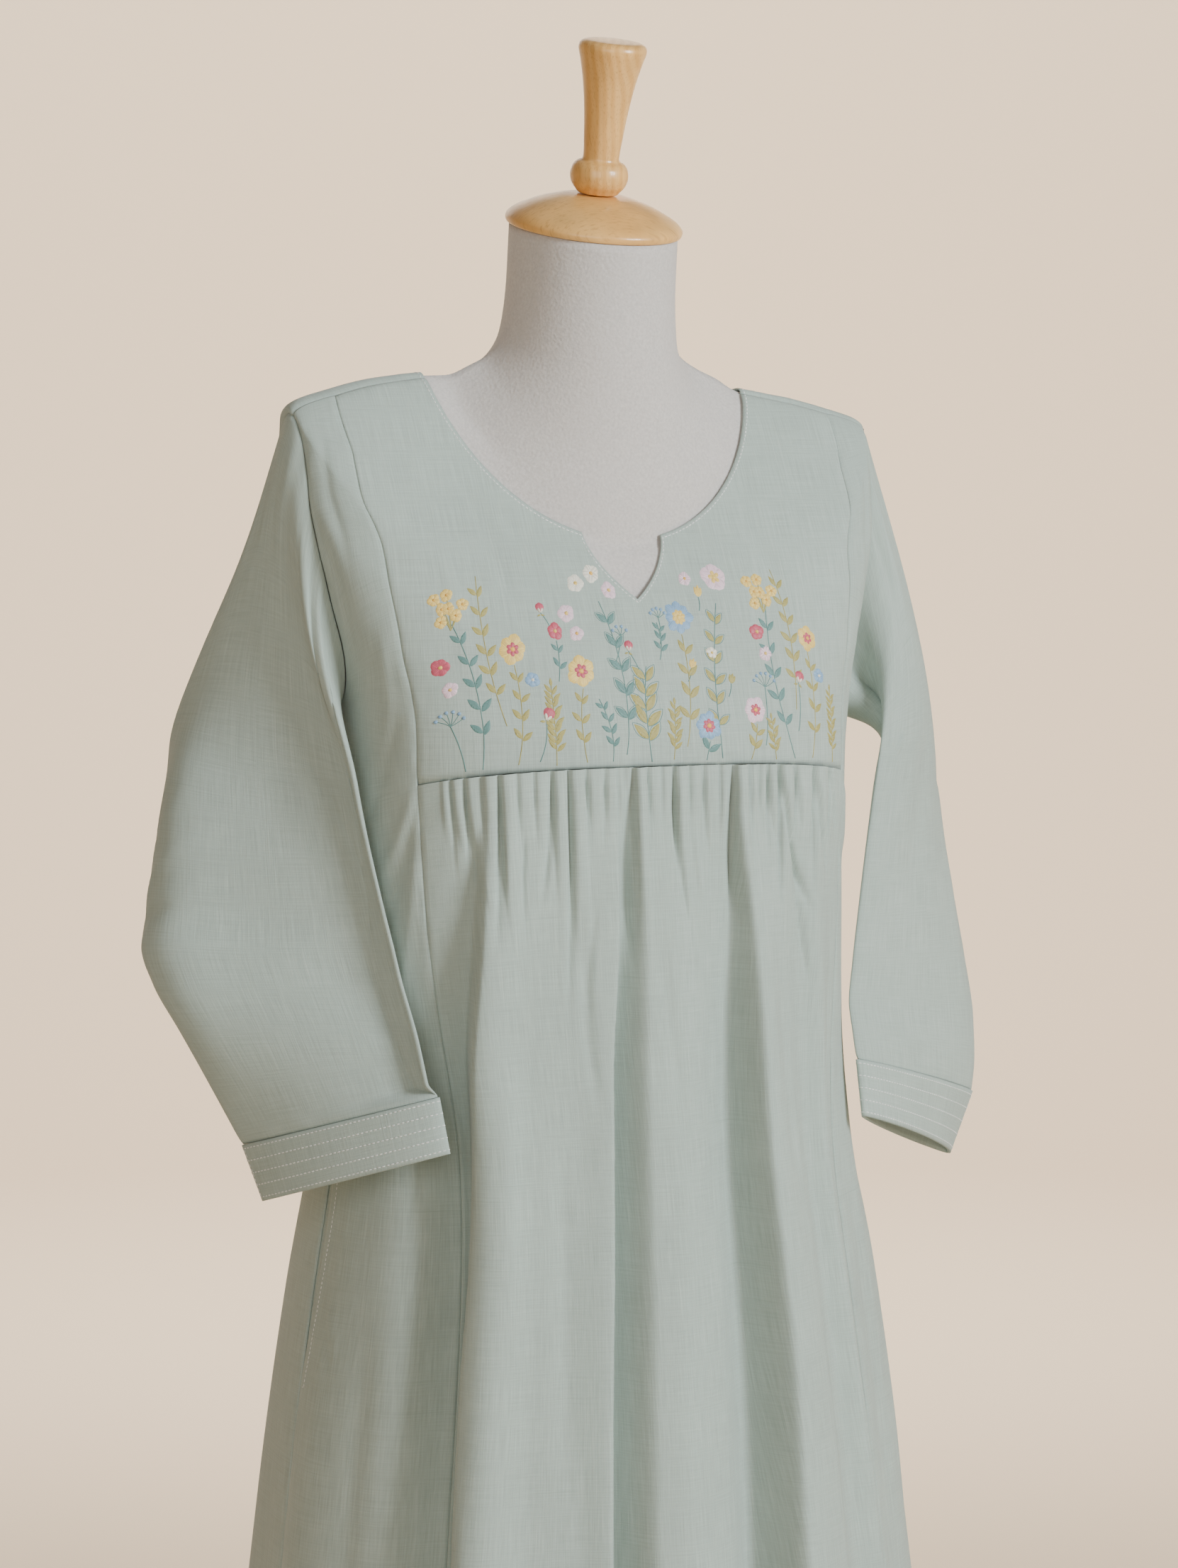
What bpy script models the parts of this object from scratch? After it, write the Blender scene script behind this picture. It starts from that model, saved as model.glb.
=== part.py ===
"""A kurta tunic worn by a limbless dress form, one object for each piece that a maker cuts.

Metres, +Z up. The origin is on the floor under the pole. The front faces -Y and +X is the wearer's left.
The cloth lies on rings round the body. A place on it is a level, which counts down the rings from the
neck, and an angle round the body from the centre front, positive towards +X.
"""
import math

import bpy
import numpy as np

WALL = 0.0012            # cloth wall
CUFF_WALL = 0.0026       # folded and topstitched cuff band
SEAM_INSET = 0.0002      # each panel stops this short of its seam line
SHOULDER_INSET = 0.00035 # this short of the shoulder seam, where the walls meet at an angle
ARMHOLE_INSET = 0.0004   # and this short of the armhole
SLEEVE_SEAT = 0.0010     # the sleeve starts this far outside the armhole, more at the underarm
SLEEVE_SEAT_UNDER = 0.0016
TOUCH = 0.0003           # gap between pieces of the stand that rest on each other
MOST_PULL = 0.4          # an inset takes at most this share of the way to the next line of points

NECK, SHOULDER_TIP, UNDERARM, YOKE_SEAM, HEM = 0.0, 3.0, 7.0, 8.0, 16.0
PRINCESS_TOP = 2.1       # where the princess seam leaves the shoulder seam
SHOULDER_ANGLE = math.radians(84.0)   # shoulder seam, a little in front of the ridge
SIDE_ANGLE = math.radians(88.0)       # side seam
RIDGE_ROUND = 0.22       # how softly the cloth rolls over the shoulder ridge

RING_COLUMNS = ("level", "half_width", "side_z", "front", "front_z", "back", "back_z", "square")
RINGS = (
    (0, 0.118, 1.402, 0.061, 1.297, 0.060, 1.384, 2.00),
    (1, 0.147, 1.398, 0.069, 1.283, 0.073, 1.369, 2.00),
    (2, 0.179, 1.391, 0.078, 1.268, 0.084, 1.350, 2.05),
    (3, 0.212, 1.377, 0.087, 1.251, 0.093, 1.325, 2.15),
    (4, 0.212, 1.342, 0.096, 1.230, 0.100, 1.290, 2.30),
    (5, 0.200, 1.280, 0.105, 1.205, 0.105, 1.250, 2.50),
    (6, 0.185, 1.225, 0.112, 1.182, 0.107, 1.210, 2.75),
    (7, 0.179, 1.190, 0.1155, 1.168, 0.107, 1.185, 2.90),
    (8, 0.176, 1.125, 0.117, 1.151, 0.106, 1.140, 3.00),
    (9, 0.175, 1.062, 0.120, 1.080, 0.108, 1.070, 2.85),
    (10, 0.177, 0.975, 0.126, 0.980, 0.113, 0.980, 2.60),
    (11, 0.184, 0.900, 0.137, 0.900, 0.128, 0.900, 2.40),
    (12, 0.200, 0.800, 0.155, 0.800, 0.153, 0.800, 2.30),
    (13, 0.214, 0.700, 0.171, 0.700, 0.170, 0.700, 2.20),
    (14, 0.225, 0.600, 0.184, 0.600, 0.182, 0.600, 2.15),
    (15, 0.240, 0.460, 0.197, 0.460, 0.195, 0.460, 2.10),
    (16, 0.255, 0.320, 0.208, 0.320, 0.206, 0.320, 2.05),
)
SHOULDER_LEAN = 0.035    # the wearer's right shoulder hangs this much higher for its distance out
LEAN_ENDS = 6.0          # level at which that lean has died out

PRINCESS_COLUMNS = ("level", "degrees")
PRINCESS = (
    (2.1, 84.0), (2.4, 66.0), (3.0, 55.0), (3.6, 51.0), (4.4, 49.5), (5.6, 51.0), (7.0, 52.0),
    (8.0, 52.5), (9.0, 52.0), (10.0, 49.5), (11.0, 46.5), (12.0, 45.0), (14.0, 47.0), (16.0, 48.0),
)

ARMHOLE_FORWARD = math.radians(12.0)  # how far the armhole dips in front of its side line, and behind
ARMHOLE_BACKWARD = math.radians(17.0)
ARMHOLE_STEPS = 9

NOTCH_LEVEL = 2.6        # point of the neckline's notch
NOTCH_SHARE = 0.169      # half the notch's width, as a share of the yoke's half width
NOTCH_CURVE = 0.9        # below 1 the notch's sides bow outward
NOTCH_FADE = 1.5         # how fast the notch's dip dies out in the rows below it
YOKE_CENTRAL = 0.4       # share of the half width over which the yoke's rows are evenly spaced

PRINCESS_LEVELS = (2.1, 2.25, 2.45, 2.8, 3.3, 3.9, 4.6, 5.4, 6.2, 7.0)
SKIRT_LEVELS = (8.0, 8.15, 8.4, 8.8, 9.3, 10.0, 10.5, 11.0, 11.6, 12.5, 13.2, 14.0, 15.0, 16.0)
SHOULDER_LEVELS = (0.0, 0.7, 1.4, 2.1)
TIP_LEVELS = (2.4375, 2.6625, 2.8875)
YOKE_SHARES = (0.0, 0.085, 0.169, 0.27, 0.38, 0.50, 0.62, 0.74, 0.85, 0.93, 1.0)
SIDE_STEPS = 8
BACK_STEPS = 28
BACK_EVEN = 0.65         # share of the back's columns that is evenly spaced; the rest crowds to its edges

PLEAT_COLUMNS = ("across_mm", "depth_mm", "run_mm")
PLEATS = (
    (-147, 1.6, 50), (-138, 2.0, 90), (-127, 2.2, 60), (-116, 2.6, 110), (-105, 3.0, 160),
    (-94, 2.2, 70), (-83, 2.4, 120), (-72, 2.0, 60), (-61, 2.8, 130), (-50, 2.2, 90),
    (-39, 2.0, 60), (-29, 2.4, 110), (-19, 3.0, 150), (-9, 2.2, 70), (1, 2.0, 60),
    (11, 2.6, 120), (21, 2.2, 80), (32, 2.0, 60), (43, 2.4, 100), (54, 3.0, 150),
    (65, 2.2, 70), (75, 2.0, 60), (85, 2.6, 120), (96, 2.8, 140), (108, 2.2, 80),
    (121, 2.4, 110), (134, 1.8, 60),
)
PLEAT_EDGE = 0.72        # the pleat's crest, as a share of the way to the next pleat
PLEAT_MIDDLE = 0.45      # a column of the mesh between valley and crest
PLEAT_VALLEY = 0.25      # the valley lies this share of the crest's height inside the cloth's ring
PLEAT_SWELL = 0.7        # a pleat deepens by this share in its first PLEAT_SWELL_RUN
PLEAT_SWELL_RUN = 0.03
PLEAT_FADE_START = 0.25  # it starts to fade after this share of its run
PLEAT_FADE_LENGTH = 1.4  # and has gone after this many runs more
LAST_PITCH = 0.012       # width of the last pleat, and the way from its crest to the seam
LAST_CREST_GAP = 0.004
SEAM_EASE = 0.03         # share of the width over which gathers and folds flatten into the princess seam
FIRST_COLUMN = 0.002     # the skirt's mesh columns next to its two princess seams
LAST_COLUMN = 0.003
TOP_SAMPLES = 721        # points along the yoke seam from which the columns' places are read

FOLD_HEIGHTS = (1.12, 1.05, 0.95, 0.80, 0.62, 0.32)
FRONT_FOLD_COLUMNS = ("name", "across_mm", "depth_mm")
FRONT_FOLDS = (
    ("near seam", (-155, -153, -150, -152, -170, -193), (0, 0, 0, 0, 0, 0)),
    ("one foot", (-147, -145, -143, -147, -164, -186), (0, 0, 0, 3, 3, 4)),
    ("one edge", (-128, -128, -124, -137, -153, -173), (0, 4, 9, 16, 20, 24)),
    ("one back", (-100, -98, -88, -102, -114, -128), (0, 3, 11, 18, 22, 26)),
    ("one crest", (-72, -62, -52, -64, -75, -86), (0, 5, 10, 17, 22, 26)),
    ("valley one", (-58, -46, -38, -50, -60, -70), (0, -3, -6, -4, -2, 0)),
    ("two crest", (-42, -28, -18, -36, -47, -55), (0, 4, 8, 13, 16, 20)),
    ("two back", (-5, 2, 10, -4, -14, -20), (0, 1, 7, 13, 17, 21)),
    ("two right", (28, 32, 38, 30, 24, 22), (0, 4, 5, 9, 12, 15)),
    ("valley two", (48, 50, 53, 51, 49, 50), (0, -2, -1, -2, -1, 0)),
    ("three crest", (64, 66, 68, 74, 76, 82), (0, 4, 7, 11, 15, 18)),
    ("three back", (92, 94, 98, 104, 112, 122), (0, 2, 7, 12, 16, 20)),
    ("three right", (122, 126, 126, 129, 138, 152), (0, 3, 5, 8, 11, 14)),
    ("far foot", (146, 144, 142, 144, 160, 182), (0, 0, 0, 2, 3, 3)),
    ("far seam", (155, 153, 150, 152, 170, 193), (0, 0, 0, 0, 0, 0)),
)

# Soft folds that hang in the side fronts and the back: a row for each crest or valley, by its share of
# the panel from its first edge to its last, with its depth at the hem.
SOFT_COLUMNS = ("share", "depth_mm", "starts_z")
SIDE_FOLDS = (
    (0.00, 0, 1.10), (0.16, -5, 1.00), (0.34, 5, 1.05), (0.52, -4, 0.95), (0.72, 7, 1.00),
    (0.88, 3, 0.90), (1.00, 0, 0.90),
)
BACK_FOLDS = (
    (0.00, 0, 1.05), (0.06, 4, 0.95), (0.13, -6, 0.95), (0.21, 8, 1.05), (0.29, -5, 1.00),
    (0.37, 6, 0.90), (0.45, -7, 1.05), (0.54, 9, 1.10), (0.62, -5, 0.95), (0.70, 6, 1.00),
    (0.78, -8, 1.05), (0.86, 7, 0.95), (0.94, -3, 0.90), (1.00, 0, 1.00),
)

MOUTH_TOP, MOUTH_BOTTOM = 10.5, 12.5  # levels of the pocket mouth in the side seam
MOUTH_GAP = math.radians(2.4)         # how far the front edge bows open
POCKET_BEHIND = 0.0020                # the pocket lies this far inside the panels
POCKET_ROWS = slice(4, 11)            # the rows of the skirt that it reaches over
POCKET_COLUMNS = 4                    # and the columns of the side front, with two of the back

# The sleeves hang pressed flat. Each row gives the front crease, the back fold and half the thickness.
SECTION_COLUMNS = ("front", "back", "half_thick")
SLEEVE_RIGHT = (
    ((-0.183, -0.054, 1.141), (-0.266, 0.075, 1.160), 0.024),
    ((-0.176, -0.062, 1.098), (-0.278, 0.060, 1.098), 0.024),
    ((-0.170, -0.070, 1.061), (-0.288, 0.051, 1.056), 0.023),
    ((-0.166, -0.077, 1.035), (-0.296, 0.043, 1.030), 0.022),
    ((-0.163, -0.082, 1.015), (-0.292, 0.034, 1.010), 0.021),
    ((-0.158, -0.094, 0.982), (-0.279, 0.021, 0.980), 0.018),
    ((-0.156, -0.102, 0.960), (-0.259, 0.006, 0.934), 0.015),
    ((-0.154, -0.107, 0.943), (-0.247, -0.005, 0.905), 0.014),
)
CUFF_RIGHT = (
    ((-0.154, -0.107, 0.943), (-0.247, -0.005, 0.905), 0.014),
    ((-0.152, -0.119, 0.908), (-0.237, -0.016, 0.869), 0.015),
)
SLEEVE_LEFT = (
    ((0.203, -0.049, 1.150), (0.285, 0.033, 1.152), 0.018),
    ((0.190, -0.057, 1.098), (0.294, 0.029, 1.096), 0.016),
    ((0.180, -0.063, 1.052), (0.300, 0.021, 1.047), 0.015),
    ((0.172, -0.068, 1.012), (0.305, 0.012, 1.002), 0.014),
    ((0.166, -0.074, 0.980), (0.309, 0.005, 0.958), 0.013),
    ((0.166, -0.080, 0.960), (0.309, 0.003, 0.930), 0.013),
    ((0.167, -0.083, 0.946), (0.307, 0.003, 0.905), 0.013),
)
CUFF_LEFT = (
    ((0.167, -0.083, 0.946), (0.307, 0.003, 0.905), 0.013),
    ((0.168, -0.090, 0.908), (0.291, 0.008, 0.861), 0.014),
)
CAP_STEPS = (0.0, 0.10, 0.24, 0.42, 0.62, 0.82)  # shares of the way from the armhole to the first row
CAP_OUT, CAP_DOWN = 0.30, -0.95        # the way the cloth leaves the armhole
CAP_MEETS = 0.08                       # share of the sleeve whose slope the cap meets at its end
SLEEVE_ROWS = 8
SECTION_CREASE = 1.25    # above 1 the pressed edges are sharper than an ellipse's
INNER_LAYER = 0.5        # the layer next to the body is flatter than the outer one

FORM_COLUMNS = ("half_width", "side_z", "front", "front_z", "back", "back_z", "middle_y")
FORM_TRUNK = (
    (0.1100, 0.722, 0.0850, 0.722, 0.0950, 0.722, 0.000),
    (0.1480, 0.727, 0.1060, 0.727, 0.1230, 0.727, 0.000),
    (0.1580, 0.745, 0.1100, 0.745, 0.1300, 0.745, 0.000),
    (0.1620, 0.800, 0.1080, 0.800, 0.1320, 0.800, 0.000),
    (0.1620, 0.860, 0.1030, 0.860, 0.1240, 0.860, 0.000),
    (0.1480, 0.940, 0.0930, 0.940, 0.1020, 0.940, 0.000),
    (0.1300, 1.020, 0.0850, 1.020, 0.0850, 1.020, 0.000),
    (0.1400, 1.085, 0.0930, 1.090, 0.0880, 1.085, 0.000),
)
FORM_UNDER_CLOTH_COLUMNS = ("level", "clearance")
FORM_UNDER_CLOTH = (
    (8.0, 0.0160), (7.0, 0.0080), (6.0, 0.0070), (5.0, 0.0080), (4.0, 0.0060), (3.4, 0.0060),
    (2.9, 0.0045), (2.1, 0.0030), (1.4, 0.0018), (0.7, 0.0016), (0.0, 0.0018),
)
FORM_NECK = (
    (0.1000, 1.4050, 0.0590, 1.318, 0.0590, 1.390, -0.001),
    (0.0840, 1.4115, 0.0570, 1.345, 0.0580, 1.398, -0.003),
    (0.0700, 1.4200, 0.0560, 1.378, 0.0570, 1.411, -0.006),
    (0.0600, 1.4370, 0.0555, 1.412, 0.0560, 1.433, -0.010),
    (0.0565, 1.4680, 0.0555, 1.455, 0.0555, 1.470, -0.014),
    (0.0560, 1.5020, 0.0560, 1.488, 0.0560, 1.516, -0.018),
)
FORM_SIDES = 32

CAP_TILT = math.atan2(0.014, 0.056)   # the neck and its cap lean forward
CAP_SEAT = (0.0, -0.018, 1.5020 + TOUCH)
CAP_PROFILE = ((0.0, 0.0235), (0.018, 0.0225), (0.034, 0.0185), (0.048, 0.0125), (0.0575, 0.0065),
               (0.0592, 0.0035), (0.0585, 0.0008), (0.0570, 0.0), (0.0, 0.0))
FINIAL_BASE = 0.0235 + TOUCH          # height of the finial above the cap's seat
FINIAL_PROFILE = ((0.0, 0.1010), (0.0165, 0.1005), (0.0215, 0.0985), (0.0226, 0.0955), (0.0208, 0.0880),
                  (0.0176, 0.0740), (0.0148, 0.0560), (0.0130, 0.0380), (0.0120, 0.0240),
                  (0.0126, 0.0222), (0.0158, 0.0205), (0.0186, 0.0165), (0.0194, 0.0120),
                  (0.0184, 0.0070), (0.0152, 0.0025), (0.0125, 0.0), (0.0, 0.0))
POLE_RADIUS = 0.0150
FORM_BOTTOM = 0.722
BASE_PROFILE = ((0.0, 0.046), (0.021, 0.046), (0.0235, 0.043), (0.025, 0.030), (0.034, 0.0255),
                (0.080, 0.0240), (0.150, 0.0205), (0.166, 0.0165), (0.170, 0.0120), (0.170, 0.0040),
                (0.168, 0.0), (0.0, 0.0))
POLE_FOOT = 0.046 + TOUCH


def smooth(rows, values, at):
    """Read a table between its rows with a curve that never overshoots them."""
    rows = np.asarray(rows, float)
    values = np.asarray(values, float)
    at = np.clip(np.asarray(at, float), rows[0], rows[-1])
    step = np.diff(rows)
    slope = np.diff(values) / step
    tangent = np.zeros(len(rows))
    tangent[0] = slope[0]
    tangent[-1] = slope[-1]
    for i in range(1, len(rows) - 1):
        if slope[i - 1] * slope[i] > 0.0:
            first = 2.0 * step[i] + step[i - 1]
            second = step[i] + 2.0 * step[i - 1]
            tangent[i] = (first + second) / (first / slope[i - 1] + second / slope[i])
    place = np.clip(np.searchsorted(rows, at, side="right") - 1, 0, len(step) - 1)
    share = (at - rows[place]) / step[place]
    width = step[place]
    return (values[place] * (1.0 + 2.0 * share) * (1.0 - share) ** 2
            + tangent[place] * width * share * (1.0 - share) ** 2
            + values[place + 1] * share ** 2 * (3.0 - 2.0 * share)
            - tangent[place + 1] * width * share ** 2 * (1.0 - share))


def column(table, columns, name):
    """One named column of a table."""
    place = columns.index(name)
    return np.array([row[place] for row in table])


def ring_value(name, level):
    return smooth(column(RINGS, RING_COLUMNS, "level"), column(RINGS, RING_COLUMNS, name), level)


def soft_step(value):
    value = np.clip(value, 0.0, 1.0)
    return value * value * (3.0 - 2.0 * value)


def ridge_share(cosine):
    """0 on the side line, 1 at the centre front or back, rounded where it crosses the side."""
    top = math.hypot(1.0, RIDGE_ROUND) - RIDGE_ROUND
    return (np.sqrt(cosine ** 2 + RIDGE_ROUND ** 2) - RIDGE_ROUND) / top


def body_point(level, angle):
    """The middle of the cloth's wall at a level and an angle, before any fold."""
    level, angle = np.broadcast_arrays(np.asarray(level, float), np.asarray(angle, float))
    sine, cosine = np.sin(angle), np.cos(angle)
    power = ring_value("square", level)
    radius = (np.abs(sine) ** power + np.abs(cosine) ** power) ** (-1.0 / power)
    sine, cosine = sine * radius, cosine * radius
    in_front = cosine > 0.0
    depth = np.where(in_front, ring_value("front", level), ring_value("back", level))
    middle_z = np.where(in_front, ring_value("front_z", level), ring_value("back_z", level))
    side_z = ring_value("side_z", level)
    x = ring_value("half_width", level) * sine
    z = side_z + (middle_z - side_z) * ridge_share(cosine)
    z = z - SHOULDER_LEAN * x * soft_step(1.0 - level / LEAN_ENDS)
    return np.stack([x, -depth * cosine, z], axis=-1)


def flat_outward(level, angle):
    """The horizontal direction that points straight out of the cloth."""
    step = 0.002
    along = body_point(level, angle + step) - body_point(level, angle - step)
    out = np.stack([along[..., 1], -along[..., 0], np.zeros(along.shape[:-1])], axis=-1)
    return out / np.linalg.norm(out, axis=-1, keepdims=True)


def princess_angle(level):
    levels = column(PRINCESS, PRINCESS_COLUMNS, "level")
    return np.radians(smooth(levels, column(PRINCESS, PRINCESS_COLUMNS, "degrees"), level))


def armhole_curve(reach):
    """Levels and angles down one side of the armhole, from the shoulder tip to the underarm."""
    share = np.linspace(0.0, 1.0, ARMHOLE_STEPS + 1)
    level = SHOULDER_TIP + (UNDERARM - SHOULDER_TIP) * (1.0 - np.cos(math.pi * share)) / 2.0
    line = SHOULDER_ANGLE + (SIDE_ANGLE - SHOULDER_ANGLE) * share
    return level, line + reach * np.sin(math.pi * share)


def pull_in(grid, edge, amount):
    """Shorten one edge of a grid of points, square to that edge, towards the next line of points."""
    views = {"top": (grid[0], grid[1]), "bottom": (grid[-1], grid[-2]),
             "first": (grid[:, 0], grid[:, 1]), "last": (grid[:, -1], grid[:, -2])}
    line, inner = views[edge]
    along = np.gradient(line, axis=0)
    along = along / np.linalg.norm(along, axis=-1, keepdims=True)
    way = inner - line
    way = way - along * np.sum(way * along, axis=-1, keepdims=True)
    length = np.linalg.norm(way, axis=-1, keepdims=True)
    line += way / length * np.minimum(amount, MOST_PULL * length)


def pleat_lines():
    """Where the valleys and crests of the gathers stand across the front, in metres."""
    across = column(PLEATS, PLEAT_COLUMNS, "across_mm") / 1000.0
    pitch = np.diff(across, append=across[-1] + LAST_PITCH)
    return across, across + PLEAT_EDGE * pitch


def pleat_depth(across, below):
    """The gathers: each rises slowly from its valley to a crest and drops back, and fades with length."""
    valley, crest = pleat_lines()
    depth = column(PLEATS, PLEAT_COLUMNS, "depth_mm") / 1000.0
    run = column(PLEATS, PLEAT_COLUMNS, "run_mm") / 1000.0
    result = np.zeros_like(across)
    for i in range(across.shape[0]):
        drop = below[i].mean()
        grown = depth * (1.0 + PLEAT_SWELL * soft_step(drop / PLEAT_SWELL_RUN))
        faded = soft_step((drop - PLEAT_FADE_START * run) / (PLEAT_FADE_LENGTH * run))
        height = grown * (1.0 - faded)
        rows = np.empty(2 * len(valley) + 1)
        rows[0:-1:2] = valley
        rows[1::2] = crest
        rows[-1] = crest[-1] + LAST_CREST_GAP
        values = np.zeros(len(rows))
        values[1::2] = height
        values[0:-1:2] = -PLEAT_VALLEY * height
        values[0] = 0.0
        result[i] = smooth(rows, values, across[i])
    return result


def front_fold_depth(across, z):
    """The large folds of the front, read between the crest and valley lines at each height."""
    heights = np.array(FOLD_HEIGHTS[::-1])
    lines = column(FRONT_FOLDS, FRONT_FOLD_COLUMNS, "across_mm")[:, ::-1] / 1000.0
    depths = column(FRONT_FOLDS, FRONT_FOLD_COLUMNS, "depth_mm")[:, ::-1] / 1000.0
    result = np.zeros_like(across)
    for i in range(across.shape[0]):
        level_z = z[i].mean()
        rows = [smooth(heights, line, level_z) for line in lines]
        values = [smooth(heights, depth, level_z) for depth in depths]
        result[i] = smooth(rows, values, across[i])
    return result


def soft_fold_depth(table, share, z):
    """Folds that start at their own heights and deepen down to the hem."""
    hem_z = ring_value("side_z", HEM)
    shares = column(table, SOFT_COLUMNS, "share")
    depth = column(table, SOFT_COLUMNS, "depth_mm") / 1000.0
    starts_z = column(table, SOFT_COLUMNS, "starts_z")
    result = np.zeros_like(share)
    for i in range(share.shape[0]):
        grown = depth * soft_step((starts_z - z[i].mean()) / (starts_z - hem_z))
        result[i] = smooth(shares, grown, share[i])
    return result


def mesh_object(name, points, faces, collection, material):
    mesh = bpy.data.meshes.new(name)
    mesh.from_pydata(points, [], faces)
    mesh.materials.append(material)
    mesh.shade_smooth()
    obj = bpy.data.objects.new(name, mesh)
    collection.objects.link(obj)
    return obj


def grid_faces(rows, columns, closed):
    last = columns if closed else columns - 1
    faces = []
    for i in range(rows - 1):
        for j in range(last):
            k = (j + 1) % columns
            faces.append((i * columns + j, (i + 1) * columns + j, (i + 1) * columns + k, i * columns + k))
    return faces


def cloth_object(name, grid, collection, material, thickness=WALL, closed=False):
    """A wall of cloth through a grid of points, with its thickness shared to both sides."""
    rows, columns = grid.shape[:2]
    points = [tuple(point) for point in grid.reshape(-1, 3)]
    obj = mesh_object(name, points, grid_faces(rows, columns, closed), collection, material)
    wall = obj.modifiers.new("wall", "SOLIDIFY")
    wall.thickness = thickness
    wall.offset = 0.0
    return obj


def turned_object(name, profile, steps, seat, tilt, collection, material):
    """A turned piece: its profile runs from the top of the axis down its outer side to the bottom."""
    points = [(radius, 0.0, height) for radius, height in profile]
    edges = [(i, i + 1) for i in range(len(points) - 1)]
    mesh = bpy.data.meshes.new(name)
    mesh.from_pydata(points, edges, [])
    mesh.materials.append(material)
    obj = bpy.data.objects.new(name, mesh)
    obj.location = seat
    obj.rotation_euler = (tilt, 0.0, 0.0)
    screw = obj.modifiers.new("turned", "SCREW")
    screw.steps = steps
    screw.render_steps = steps
    screw.use_merge_vertices = True
    screw.merge_threshold = 0.00005
    screw.use_smooth_shade = True
    collection.objects.link(obj)
    return obj


def front_yoke(collection, material):
    levels = np.array(SHOULDER_LEVELS + PRINCESS_LEVELS[1:] + (YOKE_SEAM,))
    half = np.array(YOKE_SHARES)
    shares = np.concatenate([-half[:0:-1], half])
    edge = np.where(levels <= PRINCESS_TOP, SHOULDER_ANGLE, princess_angle(levels))
    notch = NOTCH_LEVEL * np.clip(1.0 - np.abs(shares) / NOTCH_SHARE, 0.0, 1.0) ** NOTCH_CURVE
    even = np.linspace(0.0, 1.0, len(levels))[:, None]
    central = 1.0 - soft_step((np.abs(shares) - YOKE_CENTRAL) / (1.0 - YOKE_CENTRAL))[None, :]
    level = levels[:, None] * (1.0 - central) + YOKE_SEAM * even * central
    level = level + notch[None, :] * (1.0 - even) ** NOTCH_FADE
    grid = body_point(level, edge[:, None] * shares[None, :])
    pull_in(grid, "bottom", SEAM_INSET)
    for side in ("first", "last"):
        pull_in(grid[:len(SHOULDER_LEVELS)], side, SHOULDER_INSET)
        pull_in(grid[len(SHOULDER_LEVELS):], side, SEAM_INSET)
    return cloth_object("front_yoke", grid, collection, material)


def front_skirt(collection, material):
    valley, crest = pleat_lines()
    edge = princess_angle(YOKE_SEAM)
    reach = body_point(YOKE_SEAM, edge)[0]
    middle = valley + PLEAT_MIDDLE * (crest - valley)
    across_top = np.concatenate([[-reach, -reach + FIRST_COLUMN],
                                 np.sort(np.concatenate([valley, middle, crest])),
                                 [reach - LAST_COLUMN, reach]])
    top_angles = np.linspace(-edge, edge, TOP_SAMPLES)
    share = np.interp(across_top, body_point(YOKE_SEAM, top_angles)[:, 0], top_angles / edge)
    levels = np.array(SKIRT_LEVELS)
    angle = princess_angle(levels)[:, None] * share[None, :]
    level = np.broadcast_to(levels[:, None], angle.shape)
    grid = body_point(level, angle)
    seam_x = body_point(levels, princess_angle(levels))[:, 0]
    below = ring_value("front_z", YOKE_SEAM) - ring_value("front_z", level)
    top_across = np.broadcast_to(across_top[None, :], angle.shape)
    near_edge = soft_step((1.0 - np.abs(share)) / SEAM_EASE)[None, :]
    depth = pleat_depth(top_across, below) * near_edge
    across = share_to_width(grid[..., 0], seam_x, grid[..., 2])
    depth = depth + front_fold_depth(across, grid[..., 2]) * near_edge
    grid = grid + flat_outward(level, angle) * depth[..., None]
    for side in ("top", "first", "last"):
        pull_in(grid, side, SEAM_INSET)
    return cloth_object("front_skirt", grid, collection, material)


def share_to_width(x, seam_x, z):
    """Scale each row so that its ends meet the ends of the fold table at that height."""
    heights = np.array(FOLD_HEIGHTS[::-1])
    ends = column(FRONT_FOLDS, FRONT_FOLD_COLUMNS, "across_mm")[-1, ::-1] / 1000.0
    table_end = smooth(heights, ends, z.mean(axis=1))
    return x / seam_x[:, None] * table_end[:, None]


def side_front(name, side, collection, material):
    hole_level, hole_angle = armhole_curve(-ARMHOLE_FORWARD)
    lower = np.array(SKIRT_LEVELS)
    inner_level = np.concatenate([PRINCESS_LEVELS, lower])
    inner_angle = np.concatenate([[SHOULDER_ANGLE], princess_angle(inner_level[1:])])
    outer_level = np.concatenate([hole_level, lower])
    outer_angle = np.concatenate([hole_angle, np.full(len(lower), SIDE_ANGLE)])
    if side < 0:
        mouth = (outer_level - MOUTH_TOP) / (MOUTH_BOTTOM - MOUTH_TOP)
        outer_angle = outer_angle - MOUTH_GAP * np.sin(math.pi * np.clip(mouth, 0.0, 1.0))
    share = np.linspace(0.0, 1.0, SIDE_STEPS + 1)[None, :]
    level = inner_level[:, None] * (1.0 - share) + outer_level[:, None] * share
    angle = inner_angle[:, None] * (1.0 - share) + outer_angle[:, None] * share
    grid = body_point(level, angle * side)
    depth = soft_fold_depth(SIDE_FOLDS, np.broadcast_to(share, angle.shape), grid[..., 2])
    grid = grid + flat_outward(level, angle * side) * depth[..., None]
    pull_in(grid, "top", SHOULDER_INSET)
    pull_in(grid, "first", SEAM_INSET)
    pull_in(grid[:ARMHOLE_STEPS + 1], "last", ARMHOLE_INSET)
    pull_in(grid[ARMHOLE_STEPS + 1:], "last", SEAM_INSET)
    if side < 0:
        grid = grid[:, ::-1]
    return cloth_object(name, grid, collection, material)


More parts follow.
